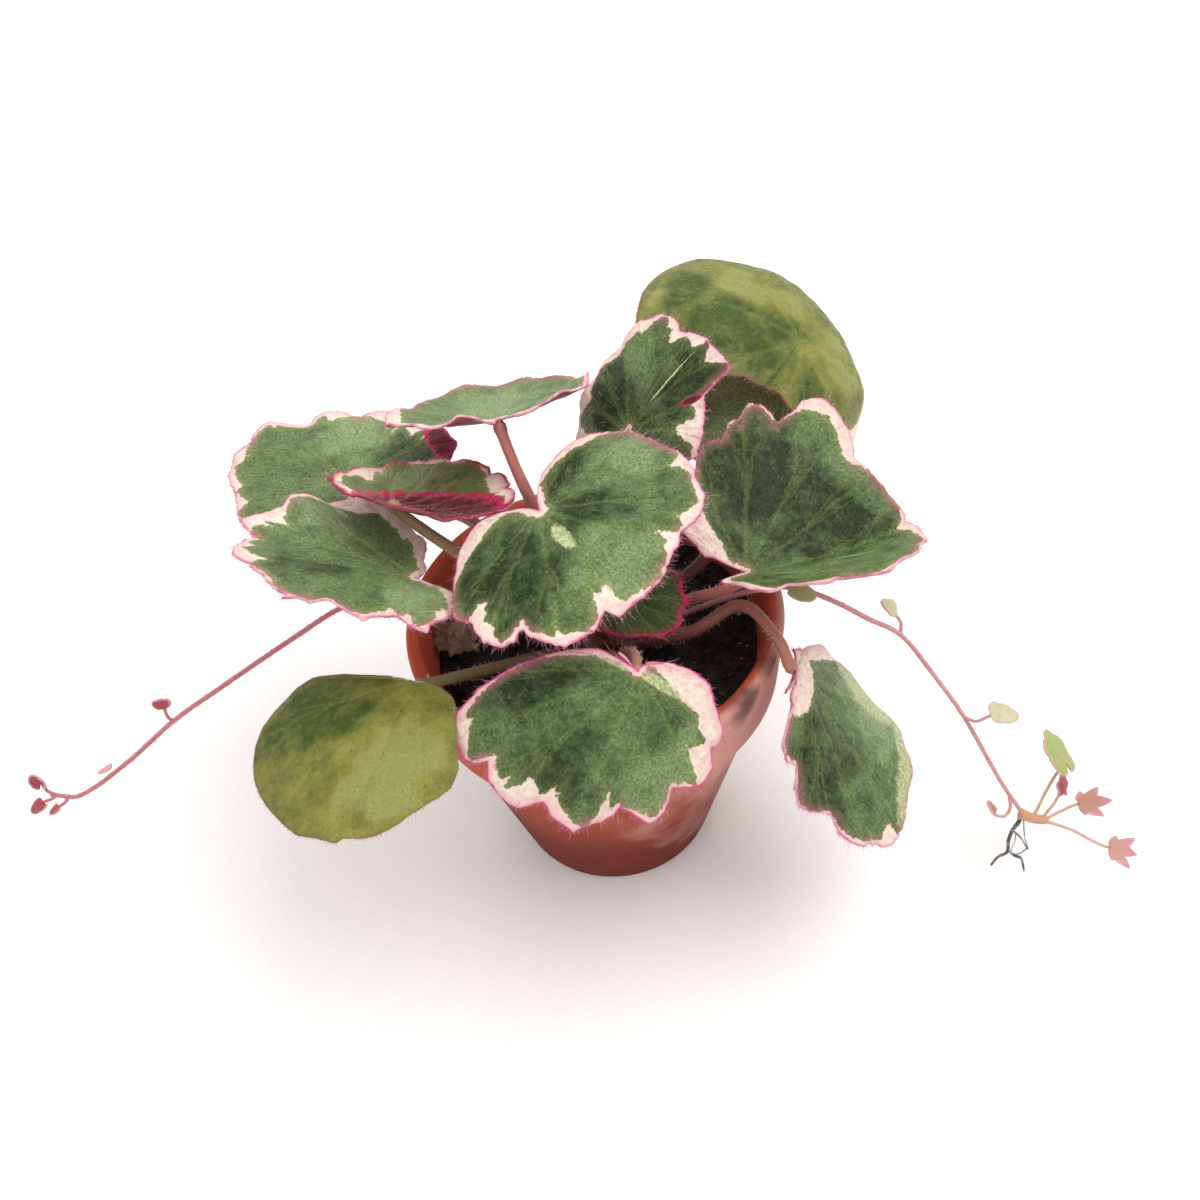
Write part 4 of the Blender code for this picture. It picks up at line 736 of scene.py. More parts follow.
    # Pink: a flush over the outer cream, and a thin bright line along the very edge
    flush = add(tree, MULTIPLY_ADD, {0: cloud, 1: 4.0, 2: fact["edge"]})
    flush = add(tree, RANGE, {0: flush, 1: 1.6, 2: 4.6, 3: 0.3, 4: 0.0})
    rim = add(tree, RANGE, {0: fact["crimson"], 1: 0.0, 2: 1.0, 3: 1.0, 4: 0.45})
    rim = add(tree, MULTIPLY_ADD, {0: fleck, 1: 0.8, 2: add(tree, MULTIPLY, {0: fact["edge"], 1: rim})})
    rim = add(
        tree, MULTIPLY,
        {
            0: add(tree, RANGE, {0: rim, 1: 0.5, 2: 1.05, 3: 1.0, 4: 0.0}),
            1: add(tree, RANGE, {0: cloud, 1: 0.4, 2: 0.6, 3: 0.35, 4: 1.0}),
        },
    )
    pink = add(
        tree, MULTIPLY, {0: add(tree, MAXIMUM, {0: flush, 1: rim}), 1: fact["blush"]}, use_clamp=True,
    )
    edging = add(tree, MIX, {0: fact["crimson"], 6: colours.leaf_pink, 7: crimson})
    colour = add(tree, MIX, {0: pink, 6: colour, 7: edging})

    # A few brown specks
    specks = add(tree, CELLS, {"Vector": where, "Scale": 150.0})
    specks = add(tree, RANGE, {0: specks, 1: 0.035, 2: 0.06, 3: 0.7, 4: 0.0})
    colour = add(tree, MIX, {0: specks, 6: colour, 7: "#3A2A1C"})

    # Quilted relief between sunken veins, with fine pimples, and a waxy gloss in streaks
    height = add(tree, MULTIPLY_ADD, {0: vein, 1: -0.35, 2: cloud})
    height = add(tree, MULTIPLY_ADD, {0: net, 1: -0.06, 2: height})
    height = add(tree, MULTIPLY_ADD, {0: grain, 1: 0.5, 2: height})
    relief = add(tree, BUMP, {"Height": height, "Strength": 0.7, "Distance": 0.0006})
    feed(
        tree, shader,
        {
            "Base Color": colour, "Normal": relief,
            "Roughness": add(tree, RANGE, {0: fleck, 1: 0.35, 2: 0.65, 3: 0.38, 4: 0.58}),
            "Specular IOR Level": 0.22,
        },
    )
    return surface


def leaf_underside_surface(name, colours):
    """Underside of a leaf: crimson and maroon, with paler veins, pink where the top is cream."""
    surface, tree, shader, where = new_surface(name)
    cream, blush = (add(tree, FACT, attribute_name=key) for key in ("cream", "blush"))
    cloud = add(tree, NOISE, {"Vector": where, "Scale": 140.0, "Detail": 5.0, "Roughness": 0.65})
    net = add(tree, CELLS, {"Vector": where, "Scale": 330.0}, feature="DISTANCE_TO_EDGE")
    net = add(tree, RANGE, {0: net, 1: 0.02, 2: 0.14, 3: 0.2, 4: 0.0})
    tone = add(tree, RANGE, {0: cloud, 1: 0.38, 2: 0.62})
    red = add(
        tree, MIX, {0: tone, 6: colours.leaf_crimson, 7: tuple(c * 0.28 for c in colours.leaf_crimson)},
    )
    dull = add(tree, MIX, {0: tone, 6: "#A39A76", 7: "#8A6F5E"})
    strong = add(tree, RANGE, {0: blush, 1: 0.4, 2: 1.2})
    colour = add(tree, MIX, {0: strong, 6: dull, 7: red})
    colour = add(tree, MIX, {0: net, 6: colour, 7: colours.leaf_pink})
    margin = add(tree, MULTIPLY_ADD, {0: cloud, 1: 4.0, 2: cream})
    margin = add(tree, RANGE, {0: margin, 1: 1.8, 2: 3.2, 3: 0.0, 4: 0.4})
    colour = add(tree, MIX, {0: margin, 6: colour, 7: "#D88C94"})
    height = add(tree, MULTIPLY_ADD, {0: net, 1: 2.0, 2: cloud})
    relief = add(tree, BUMP, {"Height": height, "Strength": 0.6, "Distance": 0.0005})
    feed(tree, shader, {"Base Color": colour, "Normal": relief, "Roughness": 0.5, "Sheen Weight": 0.1})
    return surface


def leaf_rim_surface(name, colours):
    """Cut edge of a leaf: bright pink, paler in places; olive or crimson on leaves of that kind."""
    surface, tree, shader, where = new_surface(name)
    cloud = add(tree, NOISE, {"Vector": where, "Scale": 260.0, "Detail": 3.0})
    mixing = add(tree, RANGE, {0: cloud, 1: 0.35, 2: 0.65})
    colour = add(tree, MIX, {0: mixing, 6: "#CB6488", 7: "#E9C6C2"})
    for key, over in (("olive", colours.leaf_olive), ("crimson", colours.leaf_crimson)):
        part = add(tree, FACT, attribute_name=key)
        colour = add(tree, MIX, {0: part, 6: colour, 7: over})
    feed(tree, shader, {"Base Color": colour, "Roughness": 0.5})
    return surface


def hair_surface(name, base, tip):
    """Fine plant hairs: coloured at the root and pale at the tip."""
    surface, tree, shader, _ = new_surface(name)
    along = add(tree, FACT, attribute_name="along")
    colour = add(tree, MIX, {0: along, 6: base, 7: tip})
    feed(tree, shader, {"Base Color": colour, "Roughness": 0.45})
    return surface


def stem_surface(name, first, second, spotted, foot=0.0):
    """Fleshy stem: two colours mixed by its tint, with streaks and flecks, and painted shade darkening it
    at its foot.
    """
    surface, tree, shader, where = new_surface(name)
    tint, along, round_it = (add(tree, FACT, attribute_name=key) for key in ("tint", "along", "turn"))
    ripple = add(tree, MULTIPLY, {0: along, 1: 5.0})
    wrap = add(tree, JOIN, {0: round_it, 1: ripple, 2: tint})
    streak = add(tree, NOISE, {"Vector": wrap, "Scale": 2.4, "Detail": 4.0, "Roughness": 0.6})
    fleck = add(tree, NOISE, {"Vector": where, "Scale": 1300.0, "Detail": 2.0})
    mixing = add(tree, MULTIPLY_ADD, {0: streak, 1: 1.1, 2: tint})
    mixing = add(tree, ADD, {0: mixing, 1: -0.55}, use_clamp=True)
    colour = add(tree, MIX, {0: mixing, 6: first, 7: second})
    # Painted shade: darker towards the foot, where the stalks stand in the shade of the leaves over the
    # crown
    deep = add(tree, RANGE, {0: along, 1: 0.15, 2: 0.75, 3: foot, 4: 0.0})
    colour = add(tree, MIX, {0: deep, 6: colour, 7: "#4A1814"})
    dark = add(tree, RANGE, {0: fleck, 1: 0.5, 2: 0.72, 3: 0.0, 4: spotted})
    colour = add(tree, MIX, {0: dark, 6: colour, 7: "#6E2A2A"})
    height = add(tree, MULTIPLY_ADD, {0: fleck, 1: 0.5, 2: streak})
    relief = add(tree, BUMP, {"Height": height, "Strength": 0.4, "Distance": 0.0003})
    feed(tree, shader, {"Base Color": colour, "Normal": relief, "Roughness": 0.45, "IOR": 1.42})
    return surface


def small_leaf_surface(name, colours):
    """Thin bract or young leaf: its own green, cream and red, veined, with a pink edge."""
    surface, tree, shader, where = new_surface(name)
    fact = {key: add(tree, FACT, attribute_name=key) for key in SMALL_FACTS}
    cloud = add(tree, NOISE, {"Vector": where, "Scale": 420.0, "Detail": 4.0, "Roughness": 0.6})
    mottle = add(tree, RANGE, {0: cloud, 1: 0.35, 2: 0.65, 3: -0.15, 4: 0.15})
    colour = add(
        tree, MIX, {0: add(tree, RANGE, {0: fact["share"], 1: 0.35, 2: 0.9}), 6: "#B98A68", 7: "#D293A0"},
    )
    for key, over in (("green", "#98A25A"), ("pale", colours.leaf_cream), ("red", "#983A42")):
        part = add(tree, ADD, {0: fact[key], 1: mottle}, use_clamp=True)
        colour = add(tree, MIX, {0: part, 6: colour, 7: over})
    rim = add(tree, RANGE, {0: fact["edge"], 1: 0.1, 2: 0.6, 3: 0.7, 4: 0.0})
    colour = add(tree, MIX, {0: rim, 6: colour, 7: "#DDA0AE"})
    relief = add(tree, BUMP, {"Height": cloud, "Strength": 0.5, "Distance": 0.0002})
    feed(tree, shader, {"Base Color": colour, "Normal": relief, "Roughness": 0.5})
    return surface


def terracotta_surface(name, colours):
    """Unglazed fired clay: orange red, clouded with pale lime bloom, with painted shade darkening it
    towards the foot.
    """
    surface, tree, shader, where = new_surface(name)
    cloud = add(tree, NOISE, {"Vector": where, "Scale": 45.0, "Detail": 6.0, "Roughness": 0.6})
    grit = add(tree, NOISE, {"Vector": where, "Scale": 1500.0, "Detail": 3.0, "Roughness": 0.6})
    axes = add(tree, SPLIT, {0: where}).node.outputs
    clay = colours.terracotta
    lighter = tuple(min(1, c * 1.15) for c in clay)
    colour = add(
        tree, MIX,
        {0: add(tree, RANGE, {0: cloud, 1: 0.3, 2: 0.7}), 6: tuple(c * 0.8 for c in clay), 7: lighter},
    )

    # Painted shade: the clay darkens towards the foot, where the lower pot is turned from the light
    outside = add(tree, VECTOR, {0: where, 1: (1.0, 1.0, 0.0)}, operation="MULTIPLY")
    outside = add(tree, VECTOR, {0: outside}, "Value", operation="LENGTH")
    outside = add(tree, MULTIPLY_ADD, {0: axes[2], 1: -0.0526, 2: outside})
    outside = add(tree, RANGE, {0: outside, 1: 0.0385, 2: 0.0395})
    under = add(tree, RANGE, {0: axes[2], 1: 0.06, 2: 0.0605, 3: 1.0, 4: 0.0})
    outside = add(tree, MAXIMUM, {0: outside, 1: under})
    low = add(tree, MULTIPLY_ADD, {0: cloud, 1: 0.02, 2: axes[2]})
    damp = add(tree, RANGE, {0: low, 1: 0.03, 2: 0.08, 3: 0.95, 4: 0.0})
    colour = add(tree, MIX, {0: damp, 6: colour, 7: "#661C0A"})

    # Pale bloom of lime on the outside, thickest on the collar and to the right, where its growth is partly
    # real bloom and partly painted light on the pot's lit right side; the inside has none
    bloom_and_lit_side = add(tree, MULTIPLY_ADD, {0: axes[0], 1: 11.0, 2: cloud})
    bloom_and_lit_side = add(
        tree, RANGE,
        {0: add(tree, MULTIPLY_ADD, {0: axes[2], 1: 7.0, 2: bloom_and_lit_side}), 1: 0.8, 2: 1.2, 3: 0.0, 4: 0.75},
    )
    colour = add(tree, MIX, {0: add(tree, MULTIPLY, {0: bloom_and_lit_side, 1: outside}), 6: colour, 7: "#D2A096"})
    colour = add(
        tree, MIX,
        {0: add(tree, RANGE, {0: grit, 1: 0.56, 2: 0.75, 3: 0.0, 4: 0.3}), 6: colour, 7: "#7A3A2B"},
    )

    # Smears of soil on the lip, at the front right
    for spot, reach in STAINS:
        near = add(
            tree, VECTOR, {0: where, 1: tuple(c * MM for c in spot)}, "Value", operation="DISTANCE",
        )
        near = add(tree, MULTIPLY_ADD, {0: cloud, 1: 0.016, 2: near})
        near = add(
            tree, RANGE, {0: near, 1: 0.008 + 0.3 * reach * MM, 2: 0.008 + reach * MM, 3: 0.65, 4: 0.0},
        )
        colour = add(tree, MIX, {0: near, 6: colour, 7: "#3E2A20"})
    relief = add(tree, MULTIPLY_ADD, {0: grit, 1: 0.6, 2: cloud})
    relief = add(tree, BUMP, {"Height": relief, "Strength": 0.5, "Distance": 0.0004})
    feed(
        tree, shader,
        {
            "Base Color": colour, "Normal": relief,
            "Roughness": add(tree, RANGE, {0: cloud, 1: 0.3, 2: 0.7, 3: 0.62, 4: 0.85}),
            "Specular IOR Level": 0.25,
        },
    )
    return surface


def crumb_surface(name, dark, light, amount):
    """Crumbly matter, each crumb lighter or darker than the next."""
    surface, tree, shader, where = new_surface(name)
    cell = add(tree, CELLS, {"Vector": where, "Scale": 600.0}).node.outputs
    shade = add(tree, SPLIT_COLOUR, {0: cell["Color"]})
    fine = add(tree, NOISE, {"Vector": where, "Scale": 1800.0, "Detail": 4.0, "Roughness": 0.7})
    mixing = add(tree, MULTIPLY, {0: shade, 1: fine})
    mixing = add(tree, RANGE, {0: mixing, 1: 0.2, 2: 0.62, 3: 0.0, 4: amount})
    colour = add(tree, MIX, {0: mixing, 6: dark, 7: light})
    height = add(tree, MULTIPLY_ADD, {0: fine, 1: 0.6, 2: cell[0]})
    relief = add(tree, BUMP, {"Height": height, "Strength": 0.9, "Distance": 0.0008})
    feed(tree, shader, {"Base Color": colour, "Normal": relief, "Roughness": 0.9})
    return surface


def card_surface(name):
    """Matte white card for the ground that the pot stands on."""
    surface, tree, shader, where = new_surface(name)
    tooth = add(tree, NOISE, {"Vector": where, "Scale": 900.0, "Detail": 2.0})
    mixing = add(tree, RANGE, {0: tooth, 1: 0.3, 2: 0.7})
    colour = add(tree, MIX, {0: mixing, 6: "#F4F3F1", 7: "#F8F7F5"})
    feed(tree, shader, {"Base Color": colour, "Roughness": 0.85})
    return surface


def piece(name, bm, surfaces, nodes=(), sharp=None):
    """Smooth-shaded object from a bmesh in millimetres, riding on the body, in place of CAD nodes."""
    bmesh.ops.scale(bm, vec=(MM, MM, MM), verts=bm.verts)
    mesh = bpy.data.meshes.new(name)
    bm.to_mesh(mesh)
    bm.free()
    mesh.shade_smooth()
    if sharp:
        mesh.set_sharp_from_angle(angle=math.radians(sharp))
    for surface in surfaces:
        mesh.materials.append(surface)
    made = bpy.data.objects.new(name, mesh)
    bpy.context.scene.collection.objects.link(made)
    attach(made, "root")
    if nodes:
        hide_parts(*nodes)
    return made


def turned(profile, sides):
    """A bmesh turned round Z from (radius, height) points that run down the outer side."""
    bm = bmesh.new()
    points = [bm.verts.new((r, 0.0, z)) for r, z in profile]
    edges = [bm.edges.new(pair) for pair in zip(points, points[1:])]
    bmesh.ops.spin(
        bm, geom=points + edges, axis=(0, 0, 1), cent=(0, 0, 0),
        angle=math.tau, steps=sides, use_merge=True, use_duplicate=False,
    )
    bmesh.ops.remove_doubles(bm, verts=bm.verts, dist=1e-4)
    bmesh.ops.recalc_face_normals(bm, faces=bm.faces)
    return bm


def arc(centre, radius, start, end, steps):
    """Points of an arc in the (radius, height) plane, by angles in degrees."""
    return [
        (centre[0] + radius * math.cos(math.radians(a)), centre[1] + radius * math.sin(math.radians(a)))
        for a in (start + (end - start) * i / steps for i in range(steps + 1))
    ]


def inner_radius(height):
    """Inside radius of the pot at a height above its foot."""
    low, high, top = FOOT_RADIUS - WALL, NECK_RADIUS - WALL, RIM_RADIUS - WALL
    if height <= SHOULDER:
        return low + (high - low) * (height - FLOOR) / (SHOULDER - FLOOR)
    return high + (top - high) * (height - SHOULDER) / COLLAR_HEIGHT


def pot_bmesh(sides):
    """Tapered pot with a straight collar and a rounded lip."""
    foot, bend = FOOT_RADIUS + 0.4, SHOULDER - 0.5
    outer = arc((RIM_RADIUS - LIP, POT_HEIGHT - LIP), LIP, 90, 0, 7)
    outer += [(RIM_RADIUS - 0.35, 72.0), (RIM_RADIUS - 0.7, 66.0)]
    outer += arc((COLLAR_FOOT_RADIUS - LIP, SHOULDER + LIP), LIP, 0, -90, 6)
    outer += [(NECK_RADIUS + 0.5, SHOULDER), (NECK_RADIUS, bend)]
    outer += [(foot + (NECK_RADIUS - foot) * i / 8, LIP + (bend - LIP) * i / 8) for i in range(7, 0, -1)]
    outer += [(foot, LIP), (FOOT_RADIUS + 0.1, 0.5), (FOOT_RADIUS - 0.6, 0.0), (0.0, 0.0)]
    inner = [(0.0, FLOOR), (inner_radius(FLOOR) - 2.0, FLOOR), (inner_radius(FLOOR + 2.0), FLOOR + 2.0)]
    inner += [(inner_radius(z), z) for z in (SHOULDER, POT_HEIGHT - LIP)]
    inner += arc((RIM_RADIUS - WALL + LIP, POT_HEIGHT - LIP), LIP, 165, 90, 5)
    return turned(inner + outer, sides)


def soil_height(x, y):
    """Uneven top of the potting mix, with crumbs and hollows."""
    here = Vector((x, y, 0.0))
    lumps = noise.noise(here * 0.13) * 1.1 + noise.noise(here * 0.42) * 0.6
    crumbs = noise.voronoi(here * 0.5)[0][0] * -0.9 + noise.noise(here * 1.6) * 0.25
    return SOIL_TOP + 0.25 + lumps + crumbs


def soil_bmesh(rings, sides):
    """Potting mix: a crumbly top and a plain body down to the pot's floor."""
    edge = inner_radius(SOIL_TOP - 1.0) - 0.1
    profile = [(edge * i / rings, SOIL_TOP) for i in range(rings + 1)]
    profile += [(inner_radius(SHOULDER) - GAP, SHOULDER)]
    profile += [(inner_radius(FLOOR + 2.0) - GAP, FLOOR + 2.0 + GAP)]
    profile += [(inner_radius(FLOOR) - 2.0 - GAP, FLOOR + GAP), (0.0, FLOOR + GAP)]
    bm = turned(profile, sides)
    for v in bm.verts:
        if abs(v.co.z - SOIL_TOP) < 1e-3:
            v.co.z = soil_height(v.co.x, v.co.y)
    return bm


def crumbs_bmesh(count, sizes, reach, seed, flat=1.0):
    """Loose crumbs, bark and grit lying on the potting mix."""
    chance = random.Random(seed)
    bm = bmesh.new()
    tuft = bmesh.new()
    for n in range(count):
        distance = reach * math.sqrt(chance.uniform(0.02, 1.0))
        turn = chance.uniform(0.0, math.tau)
        x, y = distance * math.cos(turn), distance * math.sin(turn)
        size = sizes[0] + (sizes[1] - sizes[0]) * chance.random() ** 3
        axis = Vector([chance.uniform(-1, 1) for _ in range(3)])
        spin = Matrix.Rotation(chance.uniform(0, math.pi), 4, axis)
        extent = (size, size * chance.uniform(0.5, 0.9), size * flat * chance.uniform(0.4, 0.8), 1)
        shape = Matrix.Diagonal(extent)
        place = Matrix.Translation((x, y, soil_height(x, y) + 0.2 * size))
        made = bmesh.ops.create_icosphere(tuft, subdivisions=1, radius=1.0, matrix=place @ spin @ shape)
        for v in made["verts"]:
            v.co += Vector([chance.uniform(-0.16, 0.16) * size for _ in range(3)])
        if n % TUFT == TUFT - 1 or n == count - 1:
            merge_into(bm, tuft)
            tuft = bmesh.new()
    tuft.free()
    return bm


def scrap_bmesh():
    """Dry, crumpled scrap of an old leaf that lies on the mix at the left."""
    bm = bmesh.new()
    bmesh.ops.create_grid(bm, x_segments=22, y_segments=14, size=1.0, calc_uvs=False)
    for v in bm.verts:
        x, y = v.co.x, v.co.y
        frayed = 1.0 + 0.5 * noise.noise(Vector((x * 3.0, y * 3.0, 4.0)))
        crumple = noise.noise(Vector((x * 2.2, y * 2.2, 9.0)))
        v.co.x = SCRAP_PLACE[0] + 5.2 * x * frayed
        v.co.y = SCRAP_PLACE[1] + 3.4 * y * frayed + 0.8 * crumple
        v.co.z = SCRAP_PLACE[2] + 2.0 * y + 2.2 * crumple
    return bm


def crown_bmesh(sides):
    """Short knobbly stem with the swollen feet of the stalks round it."""
    foot = CROWN_MIDDLE - 5.0
    profile = arc((0.0, CROWN_MIDDLE), CROWN_RADIUS, 90, 0, 12)
    profile += [(CROWN_RADIUS - 0.5, foot + 1.0), (CROWN_RADIUS - 2.0, foot), (0.0, foot)]
    bm = turned([(max(r, 0.0), z) for r, z in profile], sides)
    along = bm.verts.layers.float.new("along")
    for v in bm.verts:
        turn = math.atan2(v.co.y, v.co.x)
        if v.co.z > SOIL_TOP - 1.0:
            swell = 1.0 - 0.07 * abs(math.sin(3.5 * turn)) + 0.05 * noise.noise(v.co * 0.5)
            v.co.x *= swell
            v.co.y *= swell
            v.co.z += 0.5 * noise.noise(v.co * 0.7)
        v[along] = 0.1
    return bm


def leaf_frame(turn):
    """Unit vectors of a leaf: towards its tip, to its left, and out of its upper face."""
    heading, pitch, roll = (math.radians(a) for a in turn)
    flat = math.cos(pitch)
    tip = Vector((math.cos(heading) * flat, math.sin(heading) * flat, math.sin(pitch)))
    level = Vector((-math.sin(heading), math.cos(heading), 0.0))
    side = level * math.cos(roll) + tip.cross(level) * math.sin(roll)
    return tip, side, tip.cross(side)


def blend(t):
    """Shares of a start, its slope, an end and its slope in a smooth curve, at t from 0 to 1."""
    return 2 * t**3 - 3 * t**2 + 1, t**3 - 2 * t**2 + t, 3 * t**2 - 2 * t**3, t**3 - t**2


def between(points, x):
    """Smooth value at x of a curve through (x, y) points, by cubic pieces."""
    last = len(points) - 2
    i = max(0, min(last, sum(1 for p in points[1:] if p[0] <= x)))
    (x0, y0), (x1, y1) = points[i], points[i + 1]
    before = points[max(i - 1, 0)]
    after = points[min(i + 2, len(points) - 1)]
    span = x1 - x0
    slope0 = (y1 - before[1]) / (x1 - before[0]) * span
    slope1 = (after[1] - y0) / (after[0] - x0) * span
    start, leave, end, arrive = blend((x - x0) / span)
    return start * y0 + leave * slope0 + end * y1 + arrive * slope1


def straight(points, x):
    """Value at x of straight pieces through (x, y) points."""
    for (x0, y0), (x1, y1) in zip(points, points[1:]):
        if x <= x1:
            return y0 + (y1 - y0) * max(0.0, x - x0) / (x1 - x0)
    return points[-1][1]


def lobe_at(stops, angle):
    """Number of the lobe that an angle lies in, and how far along the lobe it is."""
    n = min(len(stops) - 2, sum(1 for s in stops[1:] if s <= angle))
    return n, (angle - stops[n]) / (stops[n + 1] - stops[n])


def margin_samples(leaf, steps):
    """(angle, lobe number, how far along the lobe) all round a small leaf's margin."""
    stops = [leaf["edge"][0][0], *leaf["notches"], leaf["edge"][-1][0]]
    angles = [a + (b - a) * i / steps for a, b in zip(stops, stops[1:]) for i in range(steps)]
    return [(angle, *lobe_at(stops, angle)) for angle in [*angles, stops[-1]]]


def rim_samples(leaf, looks):
    """The same all round a leaf of the rosette: at every corner of its rim, and closely between."""
    angles = []
    for (a, _), (b, _) in zip(looks["rim"], looks["rim"][1:]):
        parts = math.ceil((b - a) / RIM_STEP)
        angles += [a + (b - a) * i / parts for i in range(parts)]
    angles.append(looks["rim"][-1][0])
    stops = [angles[0], *[n for n in leaf["notches"] if angles[0] < n < angles[-1]], angles[-1]]
    return [(angle, *lobe_at(stops, angle)) for angle in angles]


def margin_reach(leaf, looks, angle):
    """How far the margin is from the junction, with small teeth."""
    teeth = noise.noise(Vector((angle * 0.5, leaf["at"][0], 3.0)))
    return straight(looks["rim"], angle) + teeth * (0.15 if "olive" in looks else 0.45)


def curled(leaf, frame_now, angle, reach, share):
    """Place on a curled, folded and waved sheet: across it, and its rise out of the upper face."""
    tip, side, _ = frame_now
    turn = math.radians(angle)
    curl = leaf["along"] * math.cos(turn) ** 2 + leaf["across"] * math.sin(turn) ** 2
    out = math.sin(curl * reach) / curl
    rise = -(1.0 - math.cos(curl * reach)) / curl
    size, waves, shift = leaf["wave"]
    rise += leaf.get("fold", 0.0) * abs(out * math.sin(turn))
    rise += size * share**3 * math.sin(waves * turn + shift)
    return Vector(leaf["at"]) + out * (math.cos(turn) * tip + math.sin(turn) * side), rise


def sheet_point(leaf, frame_now, angle, reach, share, lobe):
    """Where the blade lies at an angle from its tip, a reach, and a share of the way to its margin."""
    place, rise = curled(leaf, frame_now, angle, reach, share)
    quilt = 1.0 - math.exp(-((abs(lobe - 0.5) * reach * 0.35) ** 2))
    rise += 0.35 * quilt * math.sin(math.pi * min(1.0, share * 1.05)) * min(1.0, reach / 10.0)
    rise += 0.35 * noise.noise(place * 0.33) * min(1.0, reach / 8.0)
    rise -= 0.4 * share**6 * math.cos(math.tau * lobe)
    return place + rise * frame_now[2]


def flat_point(angle, reach):
    """Place on the flattened leaf."""
    return Vector((reach * math.cos(math.radians(angle)), reach * math.sin(math.radians(angle)), 0.0))


def outline_tree(points):
    """Places along an outline of (angle, reach) points, to measure distances from it."""
    places = []
    for (a, near), (b, far) in zip(points, points[1:]):
        parts = max(1, math.ceil((flat_point(b, far) - flat_point(a, near)).length / OUTLINE_STEP))
        places += [
            flat_point(a + (b - a) * i / parts, near + (far - near) * i / parts) for i in range(parts)
        ]
    tree = KDTree(len(places))
    for i, place in enumerate(places):
        tree.insert(place, i)
    tree.balance()
    return tree


def spot_depths(looks, flat):
    """How far inside each kind of spot a place on the flattened leaf is: 1 in the middle, 0 at its edge."""
    depths = dict.fromkeys(("light", "dark", "pale", "red", "cream"), -9.0)
    for kind, angle, reach, length, width in looks["spots"]:
        middle = flat_point(angle, reach)
        out = middle.normalized()
        away = flat - middle
        depth = 1.0 - math.hypot(away.dot(out) / length, away.cross(out).length / width)
        if kind in ("light", "dark"):
            depth += 0.8 * noise.noise(flat * 0.16 + Vector((angle, 0.0, 0.0)))
        depths[kind] = max(depths[kind], depth)
    return depths


def face_up(bm, up):
    """Join a sheet's double points and turn its faces to its upper side."""
    bmesh.ops.remove_doubles(bm, verts=bm.verts, dist=1e-3)
    bm.normal_update()
    if sum(f.normal.dot(up) * f.calc_area() for f in bm.faces) < 0:
        bmesh.ops.reverse_faces(bm, faces=bm.faces[:])
    return bm


def leaf_bmesh(leaf, looks, rings):
    """Upper sheet of a leaf, with its markings kept as values on its vertices."""
    frame_now = leaf_frame(leaf["turn"])
    samples = rim_samples(leaf, looks)
    count = len(samples)
    reaches = [margin_reach(leaf, looks, angle) for angle, _, _ in samples]
    first, last = samples[0][0], samples[-1][0]
    rim = outline_tree([(s[0], reach) for s, reach in zip(samples, reaches)])
    line = outline_tree(looks["green"])
    lobe_width = math.radians(last - first) / (samples[-1][1] + 1)
    bm = bmesh.new()
    bmesh.ops.create_grid(bm, x_segments=rings, y_segments=count - 1, size=1.0, calc_uvs=False)
    layer = {key: bm.verts.layers.float.new(key) for key in LEAF_FACTS}
    for v in bm.verts:
        ring = round((v.co.x + 1.0) / 2.0 * rings)
        i = round((v.co.y + 1.0) / 2.0 * (count - 1))
        angle, number, lobe = samples[i]
        share = (ring / rings) ** 0.8
        reach = reaches[i] * share
        flat = flat_point(angle, reach)
        v.co = sheet_point(leaf, frame_now, angle, reach, share, lobe)
        depths = spot_depths(looks, flat)
        cleft = []
        for side, limit, width in ((1, first, looks["cleft"][0]), (-1, last, looks["cleft"][1])):
            away = math.radians(side * (angle - limit))
            cleft.append((reach * math.sin(away) if away < math.pi / 2 else reach, width))
        deep = math.copysign(line.find(flat)[2], reach - straight(looks["green"], angle))
        inside = [width - gap for gap, width in cleft]
        v[layer["cream"]] = max(deep - CREAM_TRIM, 6.0 * depths["cream"], *inside)
        v[layer["edge"]] = min([rim.find(flat)[2]] + [gap for gap, width in cleft if width > 0.5])
        v[layer["lobe"]] = number + lobe
        v[layer["share"]] = share
        v[layer["span"]] = reach * lobe_width
        soft = [max(0.0, min(1.0, 1.3 * depths[kind] + 0.4)) for kind in ("dark", "light")]
        v[layer["tone"]] = looks["shade"] + 0.5 * (soft[0] - soft[1])
        for key in ("pale", "red"):
            v[layer[key]] = depths[key]
        for key in ("blush", "lime", "olive", "crimson"):
            v[layer[key]] = looks.get(key, 0.0)
    return face_up(bm, frame_now[2])


def smooth_path(points, start, end, count):
    """Evenly spread points of a smooth curve through the given ones, with its end directions."""
    knots = [Vector(p) for p in points]
    spans = [(b - a).length for a, b in zip(knots, knots[1:])]
    slopes = [Vector(start).normalized()]
    for i in range(1, len(knots) - 1):
        slopes.append((knots[i + 1] - knots[i - 1]) / (spans[i - 1] + spans[i]))
    slopes.append(Vector(end).normalized())
    total = sum(spans)
    path = []
    for n in range(count):
        along = total * n / (count - 1)
        i = 0
        while i < len(spans) - 1 and along > spans[i]:
            along -= spans[i]
            i += 1
        at_start, leave, at_end, arrive = blend(along / spans[i])
        place = at_start * knots[i] + leave * spans[i] * slopes[i]
        path.append(place + at_end * knots[i + 1] + arrive * spans[i] * slopes[i + 1])
    return path


def path_frames(path):
    """For each point of a path, its direction and a direction across it that never twists."""
    last = len(path) - 1
    frames = []
    for i in range(last + 1):
        ahead = (path[min(i + 1, last)] - path[max(i - 1, 0)]).normalized()
        aside = frames[-1][1] if frames else ahead.orthogonal()
        frames.append((ahead, (aside - ahead * aside.dot(ahead)).normalized()))
    return frames


